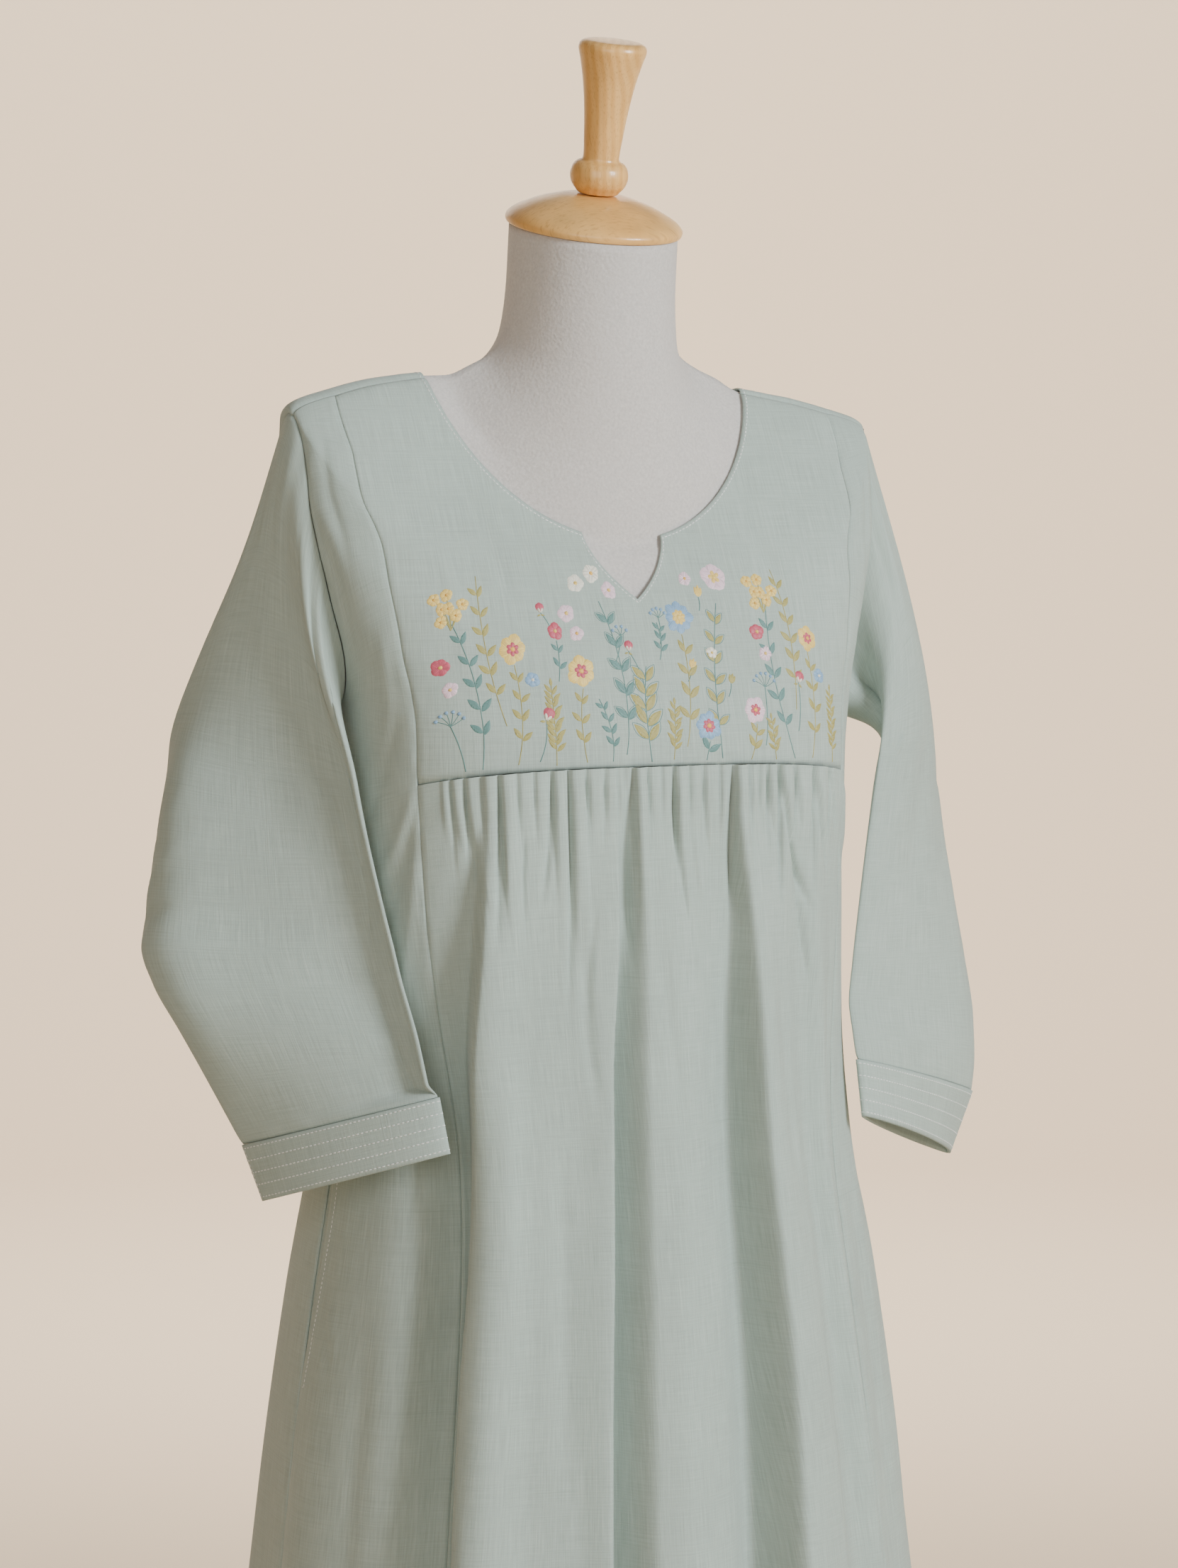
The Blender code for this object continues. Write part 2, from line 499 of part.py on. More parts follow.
def back_shares():
    """Columns across the back, closer together towards its side edges."""
    even = np.linspace(0.0, 1.0, BACK_STEPS + 1)
    crowded = (1.0 - np.cos(math.pi * even)) / 2.0
    return BACK_EVEN * even + (1.0 - BACK_EVEN) * crowded


def back(collection, material):
    hole_level, hole_angle = armhole_curve(ARMHOLE_BACKWARD)
    first_hole = len(SHOULDER_LEVELS) + len(TIP_LEVELS)
    levels = np.concatenate([SHOULDER_LEVELS, TIP_LEVELS, hole_level, SKIRT_LEVELS])
    edge = np.concatenate([np.full(first_hole, SHOULDER_ANGLE), hole_angle,
                           np.full(len(SKIRT_LEVELS), SIDE_ANGLE)])
    share = back_shares()
    angle = edge[:, None] + (2.0 * math.pi - 2.0 * edge[:, None]) * share[None, :]
    level = np.broadcast_to(levels[:, None], angle.shape)
    grid = body_point(level, angle)
    depth = soft_fold_depth(BACK_FOLDS, np.broadcast_to(share[None, :], angle.shape), grid[..., 2])
    grid = grid + flat_outward(level, angle) * depth[..., None]
    after_hole = first_hole + len(hole_level)
    for edge_name in ("first", "last"):
        pull_in(grid[:first_hole + 1], edge_name, SHOULDER_INSET)
        pull_in(grid[first_hole:after_hole], edge_name, ARMHOLE_INSET)
        pull_in(grid[after_hole:], edge_name, SEAM_INSET)
    return cloth_object("back", grid, collection, material)


def armhole_loop(side):
    """Points round the armhole: shoulder tip, down the front, underarm, up the back."""
    front_level, front_angle = armhole_curve(-ARMHOLE_FORWARD)
    back_level, back_angle = armhole_curve(ARMHOLE_BACKWARD)
    level = np.concatenate([front_level, back_level[-2:0:-1]])
    angle = np.concatenate([front_angle, back_angle[-2:0:-1]])
    loop = body_point(level, angle * side)
    turn = np.linspace(0.0, 2.0 * math.pi, len(loop), endpoint=False)
    loop[:, 0] += side * (SLEEVE_SEAT + (SLEEVE_SEAT_UNDER - SLEEVE_SEAT) * (1.0 - np.cos(turn)) / 2.0)
    return loop, turn


def pressed_section(front, back_fold, half_thick, turn, side):
    """A flattened ring: its front crease and back fold are given, and it is lens shaped between."""
    centre = (front + back_fold) / 2.0
    reach = front - centre
    out = np.array([-reach[1], reach[0], 0.0])
    out /= np.linalg.norm(out)
    if out[0] * side < 0.0:
        out = -out
    swell = np.sign(np.cos(turn)) * np.abs(np.cos(turn)) ** SECTION_CREASE
    swell = np.where(swell < 0.0, INNER_LAYER * swell, swell)
    return centre + np.sin(turn)[:, None] * reach + half_thick * swell[:, None] * out


def section_at(table, share, turn, side):
    rows = np.linspace(0.0, 1.0, len(table))
    front = np.array([smooth(rows, place, share) for place in column(table, SECTION_COLUMNS, "front").T])
    back_fold = np.array([smooth(rows, place, share) for place in column(table, SECTION_COLUMNS, "back").T])
    half_thick = smooth(rows, column(table, SECTION_COLUMNS, "half_thick"), share)
    return pressed_section(front, back_fold, half_thick, turn, side)


def sleeve(name, side, table, collection, material):
    loop, turn = armhole_loop(side)
    first = section_at(table, 0.0, turn, side)
    second = section_at(table, CAP_MEETS, turn, side)
    length = np.linalg.norm(first - loop, axis=1, keepdims=True)
    start = np.array([CAP_OUT * side, 0.0, CAP_DOWN]) * length
    finish = second - first
    finish = finish / np.linalg.norm(finish, axis=1, keepdims=True) * length
    rings = []
    for t in CAP_STEPS:
        rings.append(loop * (1.0 + 2.0 * t) * (1.0 - t) ** 2 + start * t * (1.0 - t) ** 2
                     + first * t * t * (3.0 - 2.0 * t) - finish * t * t * (1.0 - t))
    for share in np.linspace(0.0, 1.0, SLEEVE_ROWS):
        rings.append(section_at(table, share, turn, side))
    grid = np.array(rings)
    pull_in(grid, "bottom", SEAM_INSET)
    if side > 0:
        grid = grid[:, ::-1]
    return cloth_object(name, grid, collection, material, closed=True)


def cuff(name, side, table, collection, material):
    turn = np.linspace(0.0, 2.0 * math.pi, 2 * ARMHOLE_STEPS, endpoint=False)
    grid = np.array([section_at(table, share, turn, side) for share in (0.0, 0.5, 1.0)])
    pull_in(grid, "top", SEAM_INSET)
    if side > 0:
        grid = grid[:, ::-1]
    return cloth_object(name, grid, collection, material, thickness=CUFF_WALL, closed=True)


def pocket(name, collection, material):
    """The piece of the in-seam pocket that shows through its mouth on the wearer's right side."""
    levels = np.array(SKIRT_LEVELS[POCKET_ROWS])
    inner = princess_angle(levels)[:, None]
    share = np.linspace(0.0, 1.0, SIDE_STEPS + 1)[-POCKET_COLUMNS - 1:][None, :]
    behind = back_shares()[1:3][None, :]
    around = 2.0 * math.pi - 2.0 * SIDE_ANGLE
    angle = np.concatenate([inner + (SIDE_ANGLE - inner) * share,
                            np.broadcast_to(SIDE_ANGLE + around * behind, (len(levels), 2))], axis=1)
    level = np.broadcast_to(levels[:, None], angle.shape)
    grid = body_point(level, -angle)
    side_share = np.broadcast_to(np.concatenate([share, np.ones((1, 2))], axis=1), angle.shape)
    back_share = np.broadcast_to(np.concatenate([np.ones_like(share), 1.0 - behind], axis=1), angle.shape)
    fold = soft_fold_depth(SIDE_FOLDS, side_share, grid[..., 2])
    fold = fold + soft_fold_depth(BACK_FOLDS, back_share, grid[..., 2])
    grid = grid + flat_outward(level, -angle) * (fold - POCKET_BEHIND)[..., None]
    return cloth_object(name, grid[:, ::-1], collection, material)


def outward(level, angle):
    """The direction straight out of the cloth."""
    step = 0.01
    low = np.maximum(level - step, NECK)
    around = body_point(level, angle + step) - body_point(level, angle - step)
    down = body_point(level + step, angle) - body_point(low, angle)
    out = np.cross(down, around)
    return out / np.linalg.norm(out, axis=-1, keepdims=True)


def form_rings(table, turn):
    """Level rings of the form's own table, as a grid of points."""
    value = {name: column(table, FORM_COLUMNS, name)[:, None] for name in FORM_COLUMNS}
    sine, cosine = np.sin(turn)[None, :], np.cos(turn)[None, :]
    in_front = cosine > 0.0
    depth = np.where(in_front, value["front"], value["back"])
    middle_z = np.where(in_front, value["front_z"], value["back_z"])
    x = value["half_width"] * sine
    y = value["middle_y"] - depth * cosine
    z = value["side_z"] + (middle_z - value["side_z"]) * np.abs(cosine)
    return np.stack([x, y, z], axis=-1)


def form_torso(collection, material):
    """The padded form: one closed skin through its rings, with a flat disc at each end."""
    turn = np.linspace(0.0, 2.0 * math.pi, FORM_SIDES, endpoint=False)
    under_level = column(FORM_UNDER_CLOTH, FORM_UNDER_CLOTH_COLUMNS, "level")
    clearance = column(FORM_UNDER_CLOTH, FORM_UNDER_CLOTH_COLUMNS, "clearance")
    level, angle = np.broadcast_arrays(under_level[:, None], turn[None, :])
    covered = body_point(level, angle) - outward(level, angle) * clearance[:, None, None]
    grid = np.concatenate([form_rings(FORM_TRUNK, turn), covered, form_rings(FORM_NECK, turn)])
    count = len(grid)
    faces = [face[::-1] for face in grid_faces(count, FORM_SIDES, True)]
    faces.append(tuple(range(FORM_SIDES))[::-1])
    faces.append(tuple(range((count - 1) * FORM_SIDES, count * FORM_SIDES)))
    points = [tuple(point) for point in grid.reshape(-1, 3)]
    return mesh_object("form_torso", points, faces, collection, material)


def make_material(name, colour, roughness):
    material = bpy.data.materials.new(name)
    material.use_nodes = True
    shader = material.node_tree.nodes["Principled BSDF"]
    shader.inputs["Base Color"].default_value = (*colour, 1.0)
    shader.inputs["Roughness"].default_value = roughness
    return material


def build():
    for obj in list(bpy.data.objects):
        bpy.data.objects.remove(obj)
    collection = bpy.data.collections.new("kurta_tunic")
    bpy.context.scene.collection.children.link(collection)
    linen = make_material("sage_linen", (0.39, 0.48, 0.42), 0.85)
    jersey = make_material("form_jersey", (0.58, 0.55, 0.51), 0.9)
    wood = make_material("honey_wood", (0.69, 0.42, 0.16), 0.3)

    front_yoke(collection, linen)
    front_skirt(collection, linen)
    side_front("side_front_left", 1, collection, linen)
    side_front("side_front_right", -1, collection, linen)
    back(collection, linen)
    sleeve("sleeve_right", -1, SLEEVE_RIGHT, collection, linen)
    sleeve("sleeve_left", 1, SLEEVE_LEFT, collection, linen)
    cuff("cuff_right", -1, CUFF_RIGHT, collection, linen)
    cuff("cuff_left", 1, CUFF_LEFT, collection, linen)
    pocket("pocket_right", collection, linen)

    form_torso(collection, jersey)
    tilt = CAP_TILT
    turned_object("neck_cap", CAP_PROFILE, 32, CAP_SEAT, tilt, collection, wood)
    lean_y = CAP_SEAT[1] - math.sin(tilt) * FINIAL_BASE
    lean_z = CAP_SEAT[2] + math.cos(tilt) * FINIAL_BASE
    turned_object("finial", FINIAL_PROFILE, 20, (0.0, lean_y, lean_z), tilt, collection, wood)
    pole_top = FORM_BOTTOM - TOUCH
    pole_profile = ((0.0, pole_top), (POLE_RADIUS, pole_top), (POLE_RADIUS, POLE_FOOT), (0.0, POLE_FOOT))
    turned_object("pole", pole_profile, 24, (0.0, 0.0, 0.0), 0.0, collection, wood)
    turned_object("base", BASE_PROFILE, 40, (0.0, 0.0, 0.0), 0.0, collection, wood)


build()
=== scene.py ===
import math

import bpy
import numpy as np
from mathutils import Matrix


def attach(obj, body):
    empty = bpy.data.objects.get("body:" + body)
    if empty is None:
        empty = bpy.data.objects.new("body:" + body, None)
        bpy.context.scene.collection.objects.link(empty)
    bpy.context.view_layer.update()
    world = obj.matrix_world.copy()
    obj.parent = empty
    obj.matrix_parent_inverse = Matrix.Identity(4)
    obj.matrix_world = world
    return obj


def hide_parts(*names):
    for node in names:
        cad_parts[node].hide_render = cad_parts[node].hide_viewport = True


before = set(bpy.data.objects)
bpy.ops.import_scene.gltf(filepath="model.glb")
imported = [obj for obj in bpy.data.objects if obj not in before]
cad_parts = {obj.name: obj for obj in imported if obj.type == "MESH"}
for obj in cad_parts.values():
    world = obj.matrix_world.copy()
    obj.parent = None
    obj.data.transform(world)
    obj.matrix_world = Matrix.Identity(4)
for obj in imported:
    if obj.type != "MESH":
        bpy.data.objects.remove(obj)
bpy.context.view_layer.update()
print("frame loaded:", len(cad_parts), "nodes")

scene = bpy.context.scene
collection = scene.collection

# camera, floor and lights

camera = {"eye": (-1.2768, -2.6292, 1.3364), "turned": 26.0, "down": 4.0, "lens": 100.0, "sensor": 36.0}

cameraData = bpy.data.cameras.new("camera")
cameraData.lens = camera["lens"]
cameraData.sensor_width = camera["sensor"]
cameraData.clip_end = 60.0
cameraObject = bpy.data.objects.new("camera", cameraData)
cameraObject.location = camera["eye"]
cameraObject.rotation_euler = (math.radians(90.0 - camera["down"]), 0.0, -math.radians(camera["turned"]))
collection.objects.link(cameraObject)
scene.camera = cameraObject

studio = {
    "floorColour": (0.7, 0.58, 0.44), "floorRadius": 5.5, "bend": 2.0, "wallTop": 6.0,
    "middleHole": 0.02, "below": 0.0004, "bendRows": 24, "around": 96,
    "worldColour": (1.0, 0.92, 0.8), "worldStrength": 0.23,
    # name, place, aimed at, width, height, power, colour
    "lights": (
        ("windowLight", (1.8, -3.1, 2.5), (0.0, 0.0, 1.05), 1.2, 1.5, 182.0, (0.89, 0.96, 1.0)),
        ("skyLight", (-2.1, -3.2, 2.0), (-0.1, 0.0, 0.95), 2.4, 2.2, 43.0, (0.93, 0.98, 1.0)),
        ("backLight", (0.8, 3.2, 2.8), (0.0, 0.0, 1.2), 2.4, 1.6, 12.0, (1.0, 0.95, 0.88)),
        ("wallLight", (1.2, 2.6, 3.6), (3.2, 6.6, 1.5), 3.0, 1.4, 480.0, (1.0, 0.95, 0.89)),
    ),
}


def linkMesh(name, points, faces, material=None, smooth=True):
    # puts arrays of points (n, 3) and quads (m, 4) into a new mesh object
    mesh = bpy.data.meshes.new(name)
    mesh.vertices.add(len(points))
    mesh.vertices.foreach_set("co", np.ascontiguousarray(points, dtype=np.float32).ravel())
    mesh.loops.add(faces.size)
    mesh.loops.foreach_set("vertex_index", np.ascontiguousarray(faces, dtype=np.int32).ravel())
    mesh.polygons.add(len(faces))
    mesh.polygons.foreach_set("loop_start", np.arange(0, faces.size, faces.shape[1], dtype=np.int32))
    mesh.polygons.foreach_set("use_smooth", np.full(len(faces), smooth))
    mesh.update(calc_edges=True)
    if material is not None:
        mesh.materials.append(material)
    thing = bpy.data.objects.new(name, mesh)
    collection.objects.link(thing)
    return thing


def fitPiece(piece, node=None):
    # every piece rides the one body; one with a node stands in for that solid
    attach(piece, "root")
    if node is not None:
        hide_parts(node)


def gridQuads(rows, columns, closed):
    # corner numbers of every quad of a grid; a closed grid joins its last column to its first
    steps = columns if closed else columns - 1
    row, column = np.meshgrid(np.arange(rows - 1), np.arange(steps), indexing="ij")
    here, after = row * columns + column, row * columns + (column + 1) % columns
    return np.stack([here, here + columns, after + columns, after], axis=-1).reshape(-1, 4)


def turnedGrid(radius, height, steps):
    # a profile of radii and heights carried round the upright axis
    turn = np.linspace(0.0, 2.0 * math.pi, steps, endpoint=False)
    return np.stack([radius[:, None] * np.cos(turn), radius[:, None] * np.sin(turn),
                     np.broadcast_to(height[:, None], (len(height), steps))], axis=-1)


def aimedAt(place, target):
    # the turn that points a light's own downward axis from its place to its target
    way = np.array(target) - np.array(place)
    flat = math.hypot(way[0], way[1])
    return (math.atan2(flat, -way[2]), 0.0, math.atan2(way[1], way[0]) - math.pi / 2.0)


def newMaterial(name):
    # a new node material, given with its node tree and its shader
    material = bpy.data.materials.new(name)
    material.use_nodes = True
    return material, material.node_tree, material.node_tree.nodes["Principled BSDF"]


def setInputs(node, values):
    # sets a node's inputs by their names
    for name, value in values.items():
        node.inputs[name].default_value = value


def addStudio():
    # floor that bends up into a wall all round, so that every side has the same plain ground
    bend = np.linspace(0.0, math.pi / 2.0, studio["bendRows"])[1:]
    flat = np.concatenate([[studio["middleHole"]], np.linspace(0.5, studio["floorRadius"], 12)])
    radius = np.concatenate([flat, studio["floorRadius"] + studio["bend"] * np.sin(bend),
                             [studio["floorRadius"] + studio["bend"]]])
    height = np.concatenate([np.zeros(len(flat)), studio["bend"] * (1.0 - np.cos(bend)), [studio["wallTop"]]])
    grid = turnedGrid(radius, height - studio["below"], studio["around"])
    material, _, shader = newMaterial("plainGround")
    setInputs(shader, {"Base Color": (*studio["floorColour"], 1.0), "Roughness": 0.9,
                       "Specular IOR Level": 0.1})
    faces = gridQuads(len(radius), studio["around"], True)[:, ::-1]
    floor = linkMesh("floor", grid.reshape(-1, 3), faces, material)
    world = bpy.data.worlds.new("softRoom")
    world.use_nodes = True
    setInputs(world.node_tree.nodes["Background"],
              {"Color": (*studio["worldColour"], 1.0), "Strength": studio["worldStrength"]})
    scene.world = world
    for name, place, target, width, height, power, colour in studio["lights"]:
        data = bpy.data.lights.new(name, "AREA")
        data.shape = "RECTANGLE"
        data.size = width
        data.size_y = height
        data.energy = power
        data.color = colour
        light = bpy.data.objects.new(name, data)
        light.location = place
        light.rotation_euler = aimedAt(place, target)
        collection.objects.link(light)


addStudio()
print("camera, floor and lights ready")

# rings that the cloth lies on

body = {
    # values at level 0 on the shoulders to level 16 at the hem
    "level": tuple(range(17)),
    "halfWidth": (0.118, 0.147, 0.179, 0.212, 0.212, 0.2, 0.185, 0.179, 0.176, 0.175, 0.177, 0.184, 0.2,
                  0.214, 0.225, 0.24, 0.255),
    "sideZ": (1.402, 1.398, 1.391, 1.377, 1.342, 1.28, 1.225, 1.19, 1.125, 1.062, 0.975, 0.9, 0.8,
              0.7, 0.6, 0.46, 0.32),
    "front": (0.061, 0.069, 0.078, 0.087, 0.096, 0.105, 0.112, 0.1155, 0.117, 0.12, 0.126, 0.137, 0.155,
              0.171, 0.184, 0.197, 0.208),
    "frontZ": (1.297, 1.283, 1.268, 1.251, 1.23, 1.205, 1.182, 1.168, 1.151, 1.08, 0.98, 0.9, 0.8,
               0.7, 0.6, 0.46, 0.32),
    "back": (0.06, 0.073, 0.084, 0.093, 0.1, 0.105, 0.107, 0.107, 0.106, 0.108, 0.113, 0.128, 0.153,
             0.17, 0.182, 0.195, 0.206),
    "backZ": (1.384, 1.369, 1.35, 1.325, 1.29, 1.25, 1.21, 1.185, 1.14, 1.07, 0.98, 0.9, 0.8,
              0.7, 0.6, 0.46, 0.32),
    "square": (2.0, 2.0, 2.05, 2.15, 2.3, 2.5, 2.75, 2.9, 3.0, 2.85, 2.6, 2.4, 2.3, 2.2, 2.15,
               2.1, 2.05),
    "lean": 0.035, "leanEnds": 6.0, "ridgeRound": 0.22,
    "shoulderTip": 3.0, "underarm": 7.0, "yokeSeam": 8.0,
    "shoulderAngle": math.radians(84.0), "sideAngle": math.radians(88.0),
    "princessLevel": (2.1, 2.4, 3.0, 3.6, 4.4, 5.6, 7.0, 8.0, 9.0, 10.0, 11.0, 12.0, 14.0, 16.0),
    "princessDegrees": (84.0, 66.0, 55.0, 51.0, 49.5, 51.0, 52.0, 52.5, 52.0, 49.5, 46.5, 45.0, 47.0, 48.0),
    "armholeForward": math.radians(12.0), "armholeBackward": math.radians(17.0), "armholeSteps": 9,
    "skirtLevels": (8.0, 8.15, 8.4, 8.8, 9.3, 10.0, 10.5, 11.0, 11.6, 12.5, 13.2, 14.0, 15.0, 16.0),
    "princessLevels": (2.1, 2.25, 2.45, 2.8, 3.3, 3.9, 4.6, 5.4, 6.2, 7.0),
    "shoulderLevels": (0.0, 0.7, 1.4, 2.1), "tipLevels": (2.4375, 2.6625, 2.8875),
    # depth and reach beside the wearer's right seam, -1, and the left one, 1
    "valley": {-1: (0.024, 0.024), 1: (0.004, 0.024)}, "valleyTop": 1.06, "valleyRun": 0.22,
    "trunkMiddle": (0.0, 0.0, 0.95), "wall": 0.0012,
    # lengths of the ripples along a seam, and where they begin and end beside it
    "ripples": (0.0061, 0.043, 0.019), "rippleFrom": 0.002, "rippleTo": 0.009,
    # how far a crease runs past its ends, and the shares of its length over which it grows and fades
    "creaseFade": (0.12, 0.35, 0.45),
    "seamInset": 0.0002, "shoulderInset": 0.00035, "armholeInset": 0.0002,
}


def readCurve(rows, values, at):
    # a cubic through a table's values that never overshoots them; tables may differ from line to line
    rows, values, at = np.asarray(rows, float), np.asarray(values, float), np.asarray(at, float)
    shape = at.shape
    if rows.ndim == 1:
        rows, values, at = rows[None], values[None], at.reshape(1, -1)
    at = np.clip(at, rows[:, :1], rows[:, -1:])
    step = np.diff(rows, axis=1)
    slope = np.diff(values, axis=1) / step
    before, after = slope[:, :-1], slope[:, 1:]
    same = before * after > 0.0
    first = 2.0 * step[:, 1:] + step[:, :-1]
    second = step[:, 1:] + 2.0 * step[:, :-1]
    inner = (first + second) / (first / np.where(same, before, 1.0) + second / np.where(same, after, 1.0))
    tangent = np.concatenate([slope[:, :1], np.where(same, inner, 0.0), slope[:, -1:]], axis=1)
    place = (at[:, :, None] >= rows[:, None, 1:-1]).sum(axis=2)

    def pick(table, extra=0):
        return np.take_along_axis(table, place + extra, axis=1)

    width = pick(step)
    share = (at - pick(rows)) / width
    rest = 1.0 - share
    result = pick(values) * (1.0 + 2.0 * share) * rest ** 2 + pick(tangent) * width * share * rest ** 2
    result = result + pick(values, 1) * share ** 2 * (3.0 - 2.0 * share)
    return (result - pick(tangent, 1) * width * share ** 2 * rest).reshape(shape)


def ringValue(name, level):
    # one of the body's measures at a level
    return readCurve(body["level"], body[name], level)


def softStep(value):
    # a rise from 0 to 1 that starts and ends level
    value = np.clip(value, 0.0, 1.0)
    return value * value * (3.0 - 2.0 * value)


def bodyPoint(level, angle):
    # squared ring of the level's width and depths, tilted from its side height to its middle height
    level, angle = np.broadcast_arrays(np.asarray(level, float), np.asarray(angle, float))
    sine, cosine = np.sin(angle), np.cos(angle)
    power = ringValue("square", level)
    radius = (np.abs(sine) ** power + np.abs(cosine) ** power) ** (-1.0 / power)
    sine, cosine = sine * radius, cosine * radius
    inFront = cosine > 0.0
    depth = np.where(inFront, ringValue("front", level), ringValue("back", level))
    middleZ = np.where(inFront, ringValue("frontZ", level), ringValue("backZ", level))
    sideZ = ringValue("sideZ", level)
    roundness = body["ridgeRound"]
    ridge = (np.sqrt(cosine ** 2 + roundness ** 2) - roundness) / (math.hypot(1.0, roundness) - roundness)
    x = ringValue("halfWidth", level) * sine
    z = sideZ + (middleZ - sideZ) * ridge - body["lean"] * x * softStep(1.0 - level / body["leanEnds"])
    return np.stack([x, -depth * cosine, z], axis=-1)


def unit(way):
    # the same direction at length 1
    return way / np.maximum(np.linalg.norm(way, axis=-1, keepdims=True), 1e-12)


def flatOutward(level, angle):
    # level direction square to the ring
    step = 0.002
    along = bodyPoint(level, angle + step) - bodyPoint(level, angle - step)
    return unit(np.stack([along[..., 1], -along[..., 0], np.zeros(along.shape[:-1])], axis=-1))


def outward(level, angle):
    # square to the cloth's own surface
    step = 0.01
    low = np.maximum(level - step, 0.0)
    around = bodyPoint(level, angle + step) - bodyPoint(level, angle - step)
    return unit(np.cross(bodyPoint(level + step, angle) - bodyPoint(low, angle), around))


def princessAngle(level):
    # how far round the front a princess seam stands at a level
    return np.radians(readCurve(body["princessLevel"], body["princessDegrees"], level))


def refine(values, times):
    # the same list with each step cut into equal parts
    last = len(values) - 1
    return np.interp(np.linspace(0, last, last * times + 1), np.arange(last + 1), np.asarray(values, float))


def armholeCurve(reach, steps):
    # level falls with a cosine from shoulder tip to underarm while the angle bows out by reach
    share = np.linspace(0.0, 1.0, steps + 1)
    tip, underarm = body["shoulderTip"], body["underarm"]
    level = tip + (underarm - tip) * (1.0 - np.cos(math.pi * share)) / 2.0
    line = body["shoulderAngle"] + (body["sideAngle"] - body["shoulderAngle"]) * share
    return level, line + reach * np.sin(math.pi * share)


def pullIn(grid, edge, amount):
    # moves one edge of a grid inward, square to itself
    line, inner = {"top": (grid[0], grid[1]), "bottom": (grid[-1], grid[-2]),
                   "first": (grid[:, 0], grid[:, 1]), "last": (grid[:, -1], grid[:, -2])}[edge]
    along = unit(np.gradient(line, axis=0))
    way = inner - line
    way = way - along * np.sum(way * along, axis=-1, keepdims=True)
    length = np.maximum(np.linalg.norm(way, axis=-1, keepdims=True), 1e-9)
    line += way / length * np.minimum(amount, 0.4 * length)


def surfaceNormals(grid, closed=False):
    # cross of the two directions of the grid, turned away from a tube's own middle or from the trunk's
    if closed:
        across = (np.roll(grid, -1, axis=1) - np.roll(grid, 1, axis=1)) / 2.0
        middle = grid.mean(axis=1, keepdims=True)
    else:
        across, middle = np.gradient(grid, axis=1), np.array(body["trunkMiddle"])
    normal = unit(np.cross(np.gradient(grid, axis=0), across))
    return normal if np.sum(normal * (grid - middle)) > 0.0 else -normal


def edgeDistance(grid, edge):
    # length of cloth between each point and one edge of its grid
    axis = 0 if edge in ("top", "bottom") else 1
    pieces = np.linalg.norm(np.diff(grid, axis=axis), axis=-1)
    zero = np.zeros_like(np.take(grid[..., 0], [0], axis=axis))
    if edge in ("top", "first"):
        return np.concatenate([zero, np.cumsum(pieces, axis=axis)], axis=axis)
    back = np.flip(np.cumsum(np.flip(pieces, axis=axis), axis=axis), axis=axis)
    return np.concatenate([back, zero], axis=axis)


def seamDip(grid, edges, depth=0.0009, reach=0.0045, pucker=0.00035):
    # cloth rolls down into a seam and ripples a little along it
    result = np.zeros(grid.shape[:2])
    short, sway, long = body["ripples"]
    for edge in edges:
        distance = edgeDistance(grid, edge)
        along = edgeDistance(grid, "first" if edge in ("top", "bottom") else "top")
        ripple = np.sin(along / short + 1.7 * np.sin(along / sway)) * np.sin(along / long)
        result -= depth * np.clip(1.0 - distance / reach, 0.0, 1.0) ** 2
        near = np.exp(-(distance / body["rippleTo"]) ** 2)
        result += pucker * ripple * near * (1.0 - np.exp(-(distance / body["rippleFrom"]) ** 2))
    return result


def creaseDepth(creases, across, along):
    # each crease is a line from one place to another, bowed sideways; across it the cloth rises or sinks as a
    # bell that is steeper on one side, and the depth fades in and out along it
    result = np.zeros(np.broadcast(across, along).shape)
    past, grow, shrink = body["creaseFade"]
    for startAcross, startAlong, endAcross, endAlong, bow, width, depth, lean in creases:
        way = np.array([endAcross - startAcross, endAlong - startAlong], float) / 1000.0
        length = np.hypot(*way)
        offAcross, offAlong = across - startAcross / 1000.0, along - startAlong / 1000.0
        share = (offAcross * way[0] + offAlong * way[1]) / length ** 2
        side = (offAcross * way[1] - offAlong * way[0]) / length
        inside = np.clip(share, 0.0, 1.0)
        side = side - bow / 1000.0 * 4.0 * inside * (1.0 - inside)
        half = width / 2000.0 * np.where(side > 0.0, 1.0 + lean, 1.0 - lean)
        fade = softStep((share + past) / grow) * softStep((1.0 + past - share) / shrink)
        result += depth / 1000.0 * np.exp(-(side / half) ** 2) * fade
    return result


def seamValley(distance, z, side):
    # both cloths sink towards the princess seam as half a bell, from under the bust down
    depth, reach = body["valley"][side]
    return -depth * np.exp(-(distance / reach) ** 2) * softStep((body["valleyTop"] - z) / body["valleyRun"])


linen = {
    "colour": (0.405, 0.482, 0.437), "light": (0.515, 0.588, 0.537), "dark": (0.3, 0.368, 0.33),
    "roughness": 0.86, "specular": 0.22, "sheen": 0.22, "sheenRoughness": 0.45,
    "bump": 0.32, "bumpHeight": 0.0006,
    "threadPitch": 0.00052, "warpShare": 0.62, "slubShare": 0.8, "weaveShare": 0.35,
    # long fine streaks of thicker yarn in metres of cloth: label, scale across and along, detail
    "streaks": (
        ("warpYarn", (1500.0, 34.0, 1.0), 3.0), ("weftYarn", (30.0, 1300.0, 1.0), 3.0),
        ("warpSlub", (620.0, 13.0, 1.0), 2.0), ("weftSlub", (11.0, 560.0, 1.0), 2.0),
    ),
}


def mathNode(tree, operation, first, second):
    # one step of arithmetic on two values, each a number or another node's output
    node = tree.nodes.new("ShaderNodeMath")
    node.operation = operation
    for place, value in enumerate((first, second)):
        if isinstance(value, float):
            node.inputs[place].default_value = value
        else:
            tree.links.new(value, node.inputs[place])
    return node.outputs[0]


